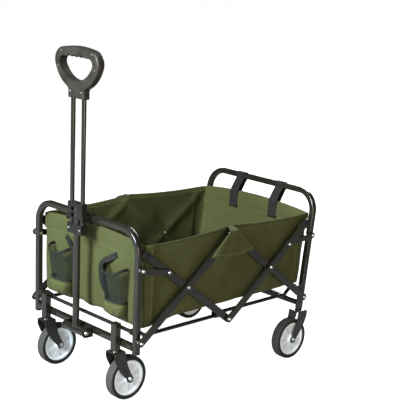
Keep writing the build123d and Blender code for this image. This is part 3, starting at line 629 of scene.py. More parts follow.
def catmull(points: Array, steps: int) -> Array:
    """A smooth line through points: the Catmull-Rom cubic, with the end tangents mirrored.

    Args:
        points: the points, n by 3.
        steps: samples on each stretch.

    Returns:
        The samples, from the first point to the last.
    """
    padded = np.vstack([2 * points[0] - points[1], points, 2 * points[-1] - points[-2]])
    t = np.linspace(0.0, 1.0, steps, endpoint=False)[None, :, None]
    p0, p1, p2, p3 = (padded[i:len(padded) - 3 + i, None, :] for i in range(4))
    line = 0.5 * (2 * p1 + (p2 - p0) * t + (2 * p0 - 5 * p1 + 4 * p2 - p3) * t ** 2
                  + (3 * p1 - p0 - 3 * p2 + p3) * t ** 3)
    return np.vstack([line.reshape(-1, 3), points[-1:]])


def run_lengths(line: Array) -> Array:
    """Distance along a line at each of its points."""
    return np.concatenate([[0.0], np.cumsum(np.linalg.norm(np.diff(line, axis=0), axis=1))])


def unit(vectors: Array) -> Array:
    """Directions of length 1."""
    return vectors / np.linalg.norm(vectors, axis=1, keepdims=True)


def ribbon(line: Array, across: Array, width: float, columns: int = 9) -> Surface:
    """A flat tape carried along a line.

    Args:
        line: the tape's middle line, n by 3.
        across: the direction across the tape, 3 or n by 3.
        width: the tape's width.
        columns: points across.

    Returns:
        The tape's middle surface.
    """
    place = np.linspace(-0.5, 0.5, columns) * width
    reach = np.broadcast_to(across, line.shape)[:, None, :] * place[None, :, None]
    return Surface.grid(line[:, None, :] + reach, stack(place, run_lengths(line)[:, None]))


def tube(line: Array, radius_a: float, radius_b: float, normal: Array) -> Surface:
    """An oval cord carried along a line, closed at its ends by shrinking the last rings to a point.

    Args:
        line: the middle line, n by 3.
        radius_a: half height along the normal.
        radius_b: half width along the binormal.
        normal: a direction roughly across the line.

    Returns:
        The cord's skin.
    """
    tangent = unit(np.gradient(line, axis=0))
    side = unit(np.cross(tangent, np.broadcast_to(normal, line.shape)))
    up = np.cross(side, tangent)
    turn = circle(TUBE_SIDES)
    swell = np.ones(len(line))
    swell[[0, -1]] = TUBE_TIP
    ring = (np.cos(turn)[None, :, None] * up[:, None, :] * radius_a
            + np.sin(turn)[None, :, None] * side[:, None, :] * radius_b)
    points = line[:, None, :] + ring * swell[:, None, None]
    turns = np.linspace(0.0, 2 * math.pi, TUBE_SIDES + 1) * radius_b
    return Surface.grid(points, stack(turns, run_lengths(line)[:, None]), wrap=True)


def lathe(profile: Array, centre: Vector, steps: int, relief: Callable | None = None,
          values: Callable | None = None) -> Surface:
    """Turn a closed profile about an axle that runs along Y.

    Args:
        profile: (distance along the axle, radius) pairs of a closed outline, n by 2.
        centre: the middle of the axle.
        steps: points round the turn.
        relief: radius added at (turn, along, radius), as whole arrays.
        values: point values at (turn, along, radius), as whole arrays.

    Returns:
        The turned skin, closed both ways.
    """
    turns, along, radius = np.broadcast_arrays(circle(steps), profile[:, :1], profile[:, 1:])
    grown = radius + relief(turns, along, radius) if relief else radius
    points = stack(centre.x + grown * np.cos(turns), centre.y + along, centre.z + grown * np.sin(turns))
    uv = stack(np.linspace(0.0, 1.0, steps + 1), np.linspace(0.0, 1.0, len(profile) + 1)[:, None])
    marks = values(turns, along, radius) if values else None
    return Surface.grid(points, uv, wrap=True, wrap_rows=True, values=marks)


def mirrored(half: Sequence[Pair]) -> Array:
    """A closed outline from its half: (distance along the axle, radius) pairs, then their mirror image."""
    return np.vstack([half, (np.array(half) * np.array([-1.0, 1.0]))[::-1]])


class Frame:
    """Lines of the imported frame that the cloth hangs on."""

    def __init__(self) -> None:
        """Read the pivots, the rear frame's lean for each metre of height, and the arms' ends."""
        def pivot(name: str) -> Vector:
            """Where a joint's axis passes."""
            return Vector(next(joint["pos_m"] for joint in frame["joints"] if joint["name"] == name))

        front_foot, low_middle, rear_link = map(pivot, ("front_foot_pivot", "low_middle_pivot",
                                                        "rear_link_pivot"))
        self.rear_foot = pivot("fold")
        self.crosses = [pivot("front_cross_pivot"), pivot("rear_cross_pivot")]
        self.lean = (self.rear_foot.x - rear_link.x) / (rear_link.z - self.rear_foot.z)
        top = 2 * self.crosses[0] - front_foot
        tips = [2 * cross - low_middle for cross in self.crosses]
        self.arms = [(front_foot, top), (low_middle, tips[0]), (low_middle, tips[1]), (self.rear_foot, top)]


@dataclass
class Tub:
    """The open cloth bag: walls that hang from the frame, two floor halves, corner piping, wall buttons."""

    steel_frame: Frame
    finishes: Materials
    thickness: float = 0.0022
    setback: float = 0.022
    corner_radius: float = 0.020
    corner_points: int = 9
    foot_radius: float = 0.0124
    spacing: float = 0.0055
    rows: int = 52
    foot_rows: int = 5
    corner_top: float = 0.506
    peak_rise: float = 0.013
    sag: float = 0.006
    crown_rise: float = 0.016
    end_dip: float = 0.002
    end_hem: float = 0.054
    side_hem: float = 0.014
    hem_pinch: float = 0.0014
    hem_pinch_width: float = 0.004
    lip: float = 0.0016
    lip_width: float = 0.006
    hem_step: float = 0.0009
    taut_below_hem: float = 0.02
    belly: float = 0.0035
    end_belly: float = 0.0025
    end_waves: Waves = ((58.0, 9.0, 0.0011), (97.0, -22.0, 0.0008), (23.0, 31.0, 0.0014))
    side_waves: Waves = ((31.0, 24.0, 0.0011), (47.0, -33.0, 0.0008), (83.0, 12.0, 0.0004))
    sleeve_waves: Waves = ((37.0, 40.0, 0.0009), (71.0, -25.0, 0.0006))
    floor_waves: Waves = ((19.0, 11.0, 0.0004), (41.0, -27.0, 0.0003))
    arm_press: float = 0.0050
    arm_press_width: float = 0.018
    fold_height: float = 0.0070
    fold_ridge: Pair = (0.024, 0.0055)
    fold_valley: Pair = (0.040, 0.010)
    fold_drift: float = 0.004
    side_lift: float = 0.017
    side_lift_range: Pair = (-0.325, -0.200)
    front_lift: float = 0.013
    front_lift_range: Pair = (0.030, 0.005)
    front_arches: tuple[Pair, ...] = ((0.045, 0.040), (-0.060, 0.045))
    floor_margin: float = 0.0118
    floor_inset: float = 0.004
    floor_rise: float = 0.0032
    crease_place: float = 0.12
    crease_width: float = 0.007
    crease_depth: float = 0.0016
    sleeve_half: float = 0.0060
    sleeve_thickness: float = 0.0012
    rear_sleeve_out: float = 1.7
    sleeve_reach: float = 0.006
    sleeve_inset: float = 0.001
    piping_radius: float = 0.0022
    button_radius: float = 0.0065
    button_rise: float = 0.0028
    button_inset: float = 0.0042
    keep: float = 0.262
    slack: float = 1.04

    def __post_init__(self) -> None:
        """Read the bag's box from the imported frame."""
        low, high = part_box("tub")
        self.front = high.x
        self.half_y = high.y
        self.floor = low.z
        self.lean = self.steel_frame.lean
        foot = self.steel_frame.rear_foot
        self.rear = foot.x + (foot.z - self.floor) * self.lean + self.setback

    def outline(self) -> tuple[Array, Array, Array]:
        """Plan of the walls: a rectangle with round corners, sampled at even steps from its front left.

        Returns:
            Points, outward directions and the distance to the nearest corner's middle along the line.
        """
        r, half, arc = self.corner_radius, self.half_y - self.corner_radius, self.corner_points
        middles = np.array([[self.front - r, half], [self.rear + r, half],
                            [self.rear + r, -half], [self.front - r, -half]])
        turn = np.radians(np.arange(4) * 90.0)[:, None] + np.radians(np.linspace(0.0, 90.0, arc))
        out = stack(np.cos(turn), np.sin(turn))
        line, outs = (np.vstack([rows, rows[:1]])
                      for rows in ((middles[:, None] + r * out).reshape(-1, 2), out.reshape(-1, 2)))
        lengths = run_lengths(line)
        self.girth = lengths[-1]
        self.places = np.linspace(0.0, self.girth, int(self.girth / self.spacing), endpoint=False)
        points, normals = (np.stack([np.interp(self.places, lengths, rows[:, i]) for i in range(2)], -1)
                           for rows in (line, outs))
        self.corners = lengths[arc // 2::arc]
        apart = np.abs(self.places[:, None] - self.corners)
        seam = np.min(np.minimum(apart, self.girth - apart), axis=1)
        return points, unit(normals), seam

    def foot_lift(self, x: Array, y: Array) -> Array:
        """How far the lower edge hangs above the floor: drawn up along the sides, arched at the front.

        Args:
            x: places along the wagon.
            y: places across it.

        Returns:
            The lift in metres.
        """
        arch = sum(bell(y, place, width) for place, width in self.front_arches)
        front = smooth_step(x, *(self.front - step for step in self.front_lift_range))
        return self.side_lift * smooth_step(-x, *self.side_lift_range) + self.front_lift * arch * front

    def top(self, plan: Array, endness: Array) -> Array:
        """Height of the bag's edge: sagging between side peaks and low corners, arched at the ends.

        Args:
            plan: points of the outline.
            endness: 1 on the end walls, 0 on the sides.

        Returns:
            The height at each point.
        """
        share = np.clip(np.abs(plan[:, 0]) / self.front, 0.0, 1.0)
        side = self.corner_top + self.peak_rise * (1 - share) - 4 * self.sag * share * (1 - share)
        across = np.clip(np.abs(plan[:, 1]) / self.half_y, 0.0, 1.0)
        end = self.corner_top - self.end_dip + self.crown_rise * (1 - across ** 2)
        return side * (1 - endness) + end * endness

    def press(self, x: Array, z: Array) -> Array:
        """How far the arms press the side walls in: a bell curve of the distance to each arm's line.

        Args:
            x: places along the wagon.
            z: heights.

        Returns:
            The depth of the press.
        """
        total = np.zeros(np.broadcast(x, z).shape)
        for low, high in self.steel_frame.arms:
            run = np.array([high.x - low.x, high.z - low.z])
            share = np.clip(((x - low.x) * run[0] + (z - low.z) * run[1]) / (run @ run), 0.0, 1.0)
            apart = np.hypot(x - low.x - share * run[0], z - low.z - share * run[1])
            total = np.maximum(total, bell(apart, 0.0, self.arm_press_width))
        return total * self.arm_press

    def corner_folds(self, seam: Array, x: Array, below: Array, swell: Array) -> Array:
        """Upright folds beside each corner: a drifting ridge and valley, fuller at the front.

        Args:
            seam: distance to the nearest corner.
            x: places along the wagon.
            below: distance below the top edge.
            swell: 1 at mid height, 0 at the edges.

        Returns:
            How far the folds stand out.
        """
        drift = self.fold_drift * np.sin(9.0 * below + 0.6)
        (ridge, ridge_width), (valley, valley_width) = self.fold_ridge, self.fold_valley
        fold = self.fold_height * (bell(seam - ridge, drift, ridge_width)
                                   - 0.9 * bell(seam - valley, drift, valley_width))
        return fold * np.maximum(swell, 0.0) ** 0.35 * (0.25 + 0.75 * smooth_step(x, 0.0, 0.2))

    def walls(self) -> Surface:
        """The wall's skin: plan line by height, with hems, folds, pressed arms and a rounded foot.

        Each point of the plan goes up from its lifted foot to the top edge. It leans with the rear frame
        and moves out by the sum of the belly, the folds and the hem's lip, less the arms' press.

        Returns:
            The walls' surface.
        """
        plan, out, seam = self.outline()
        endness = smooth_step(np.abs(out[:, 0]), 0.25, 0.75)
        top = self.top(plan, endness)
        foot = self.floor + self.foot_lift(plan[:, 0], plan[:, 1])
        arc = np.linspace(0.0, math.pi / 2, self.foot_rows, endpoint=False)
        foot_up = self.foot_radius * (1 - np.cos(arc))
        rise = np.linspace(0.0, 1.0, self.rows)
        height = np.concatenate([foot_up[:, None] * np.ones_like(top),
                                 self.foot_radius + rise[:, None] * (top - foot - self.foot_radius)])
        inset = np.concatenate([self.foot_radius * (1 - np.sin(arc)), np.zeros(self.rows)])[:, None]
        z = foot + height
        x = plan[:, 0] - (self.front - plan[:, 0]) / (self.front - self.rear) * (z - self.floor) * self.lean
        below = top - z
        swell = np.sin(math.pi * (height / (top - foot)))
        hem = self.end_hem * endness + self.side_hem * (1 - endness)
        pinch = self.hem_pinch * bell(below, hem, self.hem_pinch_width)
        lip = self.lip * bell(below, 0.0, self.lip_width) + self.hem_step * (below < hem)
        end_folds = ripple(self.places, below, self.end_waves)
        side_folds = ripple(self.places, below, self.side_waves)
        loose = swell * (1 - bell(np.maximum(below - hem, 0.0), 0.0, self.taut_below_hem))
        side_push = self.belly * swell * (1 - 0.5 * np.cos(2 * math.pi * x / self.front)) / 1.5
        push = (end_folds * endness + side_folds * (1 - endness)) * loose + lip - pinch
        fold = self.corner_folds(seam, x, below, swell)
        push = push + (side_push - self.press(x, z) + fold) * (1 - endness)
        push = push + self.end_belly * swell * endness
        points = stack(x + out[:, 0] * (push - inset), plan[:, 1] + out[:, 1] * (push - inset), z)
        uv = stack(np.append(self.places, self.girth), np.concatenate([below, below[:, :1]], axis=1))
        return Surface.grid(points, uv, wrap=True, values={"hem": hem, "seam": seam})

    def floor_panel(self, end: End) -> Surface:
        """One half of the bag's floor: a grid with round corners, a dip at its crease and lifted edges.

        Args:
            end: which half.

        Returns:
            The panel's surface.
        """
        inset = self.floor_inset
        span = (0.0, self.front - inset) if end is End.FRONT else (self.rear + inset, 0.0)
        wide = self.half_y - self.floor_margin
        x, y = np.broadcast_arrays(np.linspace(*span, 46), np.linspace(-wide, wide, 64)[:, None])
        r = self.corner_radius
        centre_x = np.clip(x, self.rear + r, self.front - r)
        centre_y = np.clip(y, -self.half_y + r, self.half_y - r)
        reach = np.hypot(x - centre_x, y - centre_y)
        limit = r - inset
        pull = np.where(reach > limit, limit / np.maximum(reach, 1e-6), 1.0)
        x = centre_x + (x - centre_x) * pull
        y = centre_y + (y - centre_y) * pull
        edge = np.minimum(np.minimum(x - self.rear, self.front - x), self.half_y - np.abs(y))
        lift = self.foot_lift(x, y) * (1 - smooth_step(edge, 0.012, 0.060))
        crease = self.crease_depth * bell(np.abs(x), self.crease_place, self.crease_width)
        z = self.floor + self.floor_rise + lift - crease + ripple(x, y, self.floor_waves)
        return Surface.grid(stack(x, y, z), stack(x, y), values={"hem": NO_SEAM, "seam": NO_SEAM})

    def sleeves(self) -> Surface:
        """Wide hems of the end walls: a flattened oval tube along each top edge, open at its two ends.

        Returns:
            Both hems' surface.
        """
        turn = circle(44)[:, None]
        y = np.linspace(-1.0, 1.0, 141)[None, :] * (self.half_y - self.sleeve_reach)
        top = self.corner_top + self.crown_rise * (1 - (y / self.half_y) ** 2)
        out = rounded(np.sin(turn), 0.85)
        down = self.end_hem / 2 * (1 - rounded(np.cos(turn), 0.65))
        z = top - down
        uv = stack(y, np.concatenate([down, down[:1]]))
        marks = {"hem": self.end_hem - 0.005, "seam": NO_SEAM}
        parts = []
        for end in End:
            full = self.sleeve_half + ripple(y, down, self.sleeve_waves)
            if end is End.FRONT:
                wall = self.front - self.sleeve_inset
            else:
                wall = self.rear + self.sleeve_inset - (z - self.floor) * self.lean
                full = full * np.where(out > 0, self.rear_sleeve_out, 1.0)
            points = stack(wall + end.value * full * out, y, z)
            parts.append(Surface.grid(points, uv, wrap_rows=True, values=marks, flip=end is End.FRONT))
        return Surface.joined(parts)

    def piping(self, walls: Surface) -> Surface:
        """A bound cord up each upright corner, laid on the wall's own points.

        Args:
            walls: the walls' surface.

        Returns:
            The cords' surface.
        """
        grid = walls.points.reshape(-1, len(self.places), 3)
        middle = np.array([(self.front + self.rear) / 2, 0.0, 0.0])
        cords = []
        for corner in self.corners:
            line = grid[2:, np.argmin(np.abs(self.places - corner))]
            away = (line[len(line) // 2] - middle) * np.array([1.0, 1.0, 0.0])
            cords.append(tube(line, self.piping_radius, self.piping_radius, away / np.linalg.norm(away)))
        return Surface.joined(cords)

    def buttons(self) -> Surface:
        """Pressed eyelets inside the side walls, where the arms cross: turned quarter-round domes.

        Returns:
            The eyelets' surface.
        """
        reach = np.linspace(0.0, 1.0, 8)
        bore, back = 0.0003, -0.0004
        dome = stack(self.button_rise * np.cos(reach * math.pi / 2), self.button_radius * reach + bore)
        outline = np.vstack([dome, [[back, self.button_radius], [back, bore]]])
        made = []
        for side in Side:
            turned = (outline * np.array([-side.value, 1.0]))[::-side.value]
            y = side.value * (self.half_y - self.thickness - self.button_inset)
            made += [lathe(turned, Vector((cross.x, y, cross.z)), 24) for cross in self.steel_frame.crosses]
        return Surface.joined(made)

    def hang(self, skin: Surface, name: str, slot: str, thickness: float = 0.0, offset: float = -1.0,
             finish: str | None = None, keep: float | None = None) -> Piece:
        """Make a piece that rises with the bag.

        Args:
            skin: its surface.
            name: its name.
            slot: its material slot.
            thickness: that of its sheet.
            offset: on which side of the sheet the thickness lies.
            finish: its finish, where that isn't the slot's.
            keep: the share of its length that is left when folded, where that isn't the bag's; not used.

        Returns:
            The new object.
        """
        piece = skin.make(name, self.finishes[finish or slot], thickness, offset)
        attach(piece, "tub_body")
        keep or self.keep
        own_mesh(piece)
        return piece

    def lay_floor(self, end: End) -> Piece:
        """Make one half of the floor, which turns up with the bars under it.

        Args:
            end: which half.

        Returns:
            The new piece.
        """
        name = end.name.lower()
        panel = self.floor_panel(end)
        floor = panel.make(f"tub_floor_{name}", self.finishes["fabric"], self.thickness)
        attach(floor, f"{name}_bars")
        length = self.front if end is End.FRONT else -self.rear
        panel.area() / length * self.slack
        return floor

    def build(self) -> list[Piece]:
        """Returns:
            The new pieces.
        """
        skin = self.walls()
        walls = self.hang(skin, "tub_walls", "fabric", self.thickness)
        floors = [self.lay_floor(end) for end in End]
        piping = self.hang(self.piping(skin), "tub_corner_piping", "fabric", finish=PLAIN)
        buttons = self.hang(self.buttons(), "tub_buttons", "steel")
        sleeves = self.hang(self.sleeves(), "tub_hem_sleeves", "fabric", self.sleeve_thickness)
        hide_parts("tub")
        drop = self.corner_top - self.floor
        skin.area() / drop * self.slack
        hems = 2 * self.half_y * 4 * (self.end_hem + 2 * self.sleeve_half)
        hems / 2 / self.half_y
        self.cloth = walls
        return [walls, *floors, piping, buttons, sleeves]


@dataclass
class Flaps:
    """Peaked covers over the top middle pivots: each a folded triangle that hangs from the side's peak."""

    tub: Tub
    thickness: float = 0.0018
    half_width: float = 0.097
    top_half_width: float = 0.005
    top_rise: float = 0.002
    drop: float = 0.086
    belly: float = 0.013
    stand_off: float = 0.0295
    wall_gap: float = 0.0008
    tuck: float = 0.08
    ridge: float = 0.0016
    wave: float = 0.0011
    hem: float = 0.008
    hem_area: float = 0.0028
    keep: float = 0.277

    def sheet(self, side: Side) -> Surface:
        """One flap: u across from -1 to 1, v down from 0 to 1; it stands out below its peak.

        Args:
            side: which side of the wagon.

        Returns:
            The flap's surface.
        """
        u = np.linspace(-1.0, 1.0, 97)[None, :]
        v = np.linspace(0.0, 1.0, 49)[:, None]
        half = self.top_half_width + (self.half_width - self.top_half_width) * v
        x = half * u
        top = self.tub.corner_top + self.tub.peak_rise + self.top_rise
        z = top - self.drop * v - self.belly * (1 - u ** 2) * v ** 2
        below_peak = smooth_step(v, 0.1, 0.3)
        back = smooth_step(np.abs(u), 0.90, 1.0) * below_peak
        crease = self.ridge * bell(u, -0.12, 0.10) * (1 - v) * below_peak
        wave = self.wave * np.sin(5.0 * u + 1.1) * v
        out = self.stand_off * smooth_step(v, 0.0, 0.17) * (1 - self.tuck * back) + crease + np.abs(wave)
        y = side.value * (self.tub.half_y + self.wall_gap + out)
        edge = (1 - np.abs(u)) * half * 0.75
        return Surface.grid(stack(x, y, z), stack(x, (1 - v) * self.drop), flip=side is Side.RIGHT,
                            values={"hem": self.hem, "seam": edge})

    def build(self) -> list[Piece]:
        """Make both flaps as one piece.

        Returns:
            The new pieces.
        """
        both = Surface.joined([self.sheet(side) for side in Side])
        flaps = self.tub.hang(both, "tub_flap_cloth", "fabric", self.thickness, 1.0, keep=self.keep)
        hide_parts("tub_flaps")
        area = 2 * (self.half_width + self.top_half_width) * self.drop + self.belly * self.half_width * 4 / 3
        2 * self.half_width
        2 * (self.drop + self.stand_off)
        2 * (area * 0.5 + self.hem_area)
        return [flaps]


@dataclass
class Pockets:
    """Mesh pockets on an end wall: a netting bag with a puffed cloth foot and bound edges."""

    tub: Tub
    end: End
    thickness: float = 0.0012
    columns: int = 57
    foot_share: float = 0.34
    rim_sag: float = 0.020
    round_power: float = 0.62
    half_width: Pair = (0.043, 0.005)
    depth: Pair = (0.022, 0.022)
    edge_inset: float = 0.049
    wall_gap: float = 0.003
    foot_gap: float = 0.002
    foot_drop: float = 0.008
    base_sag: float = 0.004
    puff: float = 0.013
    mouth_waves: Waves = ((9.0, 0.6, 0.0012), (15.0, -0.9, 0.0008))
    foot_waves: Waves = ((6.0, 1.9, 0.0022), (11.0, -2.6, 0.0014))
    rim_size: Pair = (0.0048, 0.0017)
    seam_size: Pair = (0.0042, 0.0013)
    hem: float = 0.012
    slack: float = 1.10

    def __post_init__(self) -> None:
        """Read the pockets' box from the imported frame."""
        self.node = f"{self.end.name.lower()}_pockets"
        low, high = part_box(self.node)
        self.low = low.z - self.foot_drop
        self.height = high.z - self.low
        self.outer_y = high.y

    def wall(self, z: Array) -> Array:
        """X of the end wall's cloth at a height.

        Args:
            z: the heights.

        Returns:
            The wall's place at each.
        """
        if self.end is End.FRONT:
            return np.full_like(z, self.tub.front + self.wall_gap)
        return self.tub.rear - (z - self.tub.floor) * self.tub.lean - self.wall_gap

    def bag(self, side: Side, share: Array) -> Array:
        """Points of the bag at shares of its height: a rounded half section that opens upwards.

        Args:
            side: which side of the wagon.
            share: the shares, 0 at the foot and 1 at the mouth.

        Returns:
            Rows by columns by 3.
        """
        share = share[:, None]
        turn = np.linspace(-math.pi / 2, math.pi / 2, self.columns)[None, :]
        across = rounded(np.sin(turn), self.round_power)
        ahead = np.abs(np.cos(turn)) ** self.round_power
        half = self.half_width[0] + self.half_width[1] * share
        swell = bell(share, 0.16, 0.13)
        depth = self.depth[0] + self.depth[1] * share + self.puff * swell
        depth = depth * np.minimum(1.0, 0.35 + 7.0 * share)
        sag = self.rim_sag * share ** 3 * (1 - across ** 2)
        z = self.low + self.foot_gap + share * (self.height - self.foot_gap) - sag
        pucker = (ripple(across, share * 9.0, self.mouth_waves) * share
                  + ripple(across, share * 9.0, self.foot_waves) * swell)
        y = side.value * (self.outer_y - self.edge_inset) + half * across
        return stack(self.wall(z) + self.end.value * ahead * (depth + pucker), y, z)

    def ring(self, side: Side, share: float) -> Array:
        """The bag's line round at one share of its height."""
        return self.bag(side, np.array([share]))[0]

    def cloth(self, points: Array, uv: Array, hem: float) -> Surface:
        """A grid of the bag as a sheet with its face outwards."""
        return Surface.grid(points, uv, flip=self.end is End.REAR, values={"hem": hem, "seam": NO_SEAM})

    def skin(self, side: Side, low: float, high: float, rows: int) -> Surface:
        """A stretch of the bag as cloth, between two shares of its height.

        Args:
            side: which side of the wagon.
            low: the lowest share.
            high: the highest share.
            rows: points up.

        Returns:
            The stretch's surface.
        """
        share = np.linspace(low, high, rows)
        points = self.bag(side, share)
        down = (high - share)[:, None] * self.height
        return self.cloth(points, stack(run_lengths(points[-1]), down), self.hem)

    def base(self, side: Side) -> Surface:
        """The bag's floor: lines from the lowest ring back to the wall, sagging by half a sine.

        Args:
            side: which side of the wagon.

        Returns:
            The floor's surface.
        """
        ring = self.ring(side, 0.0)
        back = ring.copy()
        back[:, 0] = self.wall(ring[:, 2])
        share = np.linspace(0.0, 1.0, 7)[:, None, None]
        points = back[None] * (1 - share) + ring[None] * share
        points[..., 2] -= self.base_sag * np.sin(math.pi * share[..., 0])
        return self.cloth(points, points[..., :2], NO_SEAM)

    def bindings(self, side: Side) -> list[Surface]:
        """The binding folded over the bag's mouth, and the bound seam between netting and foot."""
        cords = ((1.0, self.rim_size), (self.foot_share, self.seam_size))
        return [tube(self.ring(side, share), *size, UPWARDS) for share, size in cords]

    def build(self) -> list[Piece]:
        """Make this end's pockets.

        Returns:
            The new pieces.
        """
        name = f"{self.end.name.lower()}_pocket"
        nets = Surface.joined([self.skin(side, self.foot_share, 1.0, 34) for side in Side])
        feet = Surface.joined([part for side in Side
                               for part in (self.skin(side, 0.0, self.foot_share, 22), self.base(side))])
        bindings = Surface.joined([part for side in Side for part in self.bindings(side)])
        net = self.tub.hang(nets, f"{name}_net", "mesh")
        foot = self.tub.hang(feet, f"{name}_foot", "fabric", self.thickness, 0.0)
        binding = self.tub.hang(bindings, f"{name}_binding", "webbing")
        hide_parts(self.node)
        for piece, skin, tall in ((net, nets, 1 - self.foot_share), (foot, feet, self.foot_share)):
            drop = tall * self.height
            skin.area() / drop * self.slack
        return [net, foot, binding]


@dataclass
class FrontLoops:
    """Webbing carry loops on the front wall, each bowed out beside its pocket."""

    tub: Tub
    width: float = 0.019
    thickness: float = 0.0018
    turned_under: float = 1.14
    route: tuple[tuple[float, float, float], ...] = (
        (0.0045, 0.131, 0.451), (0.0055, 0.119, 0.444), (0.0110, 0.101, 0.433), (0.0165, 0.082, 0.420),
        (0.0190, 0.072, 0.405), (0.0185, 0.070, 0.385), (0.0155, 0.071, 0.358), (0.0100, 0.075, 0.335),
        (0.0055, 0.080, 0.322), (0.0045, 0.084, 0.312))

    def loop(self, side: Side) -> Surface:
        """One loop: its route stands off the wall, runs towards the middle and comes back.

        Args:
            side: which side of the wagon.

        Returns:
            The tape's surface.
        """
        points = np.array(self.route)
        points[:, 0] += self.tub.front
        points[:, 1] *= side.value
        line = catmull(points, 9)
        tangent = np.gradient(line, axis=0)
        flat = unit(stack(0.0, -tangent[:, 2], tangent[:, 1]))
        return ribbon(line, flat * side.value, self.width)

    def build(self) -> list[Piece]:
        """Make both loops.

        Returns:
            The new pieces.
        """
        loops = Surface.joined([self.loop(side) for side in Side])
        piece = self.tub.hang(loops, "front_carry_loops", "webbing", self.thickness, 0.0)
        2 * self.width
        loops.area() / 2 / self.width * self.turned_under
        return [piece]


@dataclass
class BarStraps:
    """Webbing loops that tie the rear wall to the push bar, sewn inside and outside the wall."""

    tub: Tub
    width: float = 0.036
    thickness: float = 0.0018
    place: float = 0.096
    tube_half: float = 0.0100
    tube_gap: float = 0.0016
    wall_gap: float = 0.0092
    inside_drop: float = 0.062
    inside_rise: float = 0.001
    outside_start: float = 0.004
    outside_drop: float = 0.034
    turned_under: float = 1.10

    def build(self) -> list[Piece]:
        """Returns:
            The new pieces.
        """
        lean = self.tub.lean
        foot = self.tub.steel_frame.rear_foot
        bar_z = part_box("rear_u_frame")[1].z - self.tube_half
        bar_x = foot.x - (bar_z - foot.z) * lean
        top = self.tub.corner_top + self.tub.crown_rise
        wrap = self.tube_half + self.tube_gap
        wall_x = foot.x + self.tub.setback - (top - foot.z) * lean
        inner, outer = wall_x + self.wall_gap, wall_x - self.wall_gap
        turn = np.radians(np.linspace(-35.0, 215.0, 11))
        corner = np.maximum(np.abs(np.cos(turn)), np.abs(np.sin(turn))) ** 0.55
        over = stack(bar_x + wrap * np.cos(turn) / corner, 0.0, bar_z + wrap * np.sin(turn) / corner)
        inside = [(inner + self.inside_drop * lean, 0, top - self.inside_drop),
                  (inner + 0.5 * self.inside_drop * lean, 0, top - 0.5 * self.inside_drop),
                  (inner, 0, top + self.inside_rise)]
        outside = [(outer, 0, top - self.outside_start),
                   (outer + self.outside_drop * lean, 0, top - self.outside_drop)]
        line = catmull(np.vstack([inside, over, outside]), 6)
        straps = Surface.joined([ribbon(line + np.array([0.0, side.value * self.place, 0.0]),
                                        np.array([0.0, -1.0, 0.0]), self.width, 11) for side in Side])
        piece = straps.make("bar_straps", self.tub.finishes["webbing"], self.thickness, 0.0)
        bar_z - self.tube_half
        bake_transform(piece)
        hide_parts("rear_straps")
        2 * self.width
        straps.area() / 2 / self.width * self.turned_under
        return [piece]


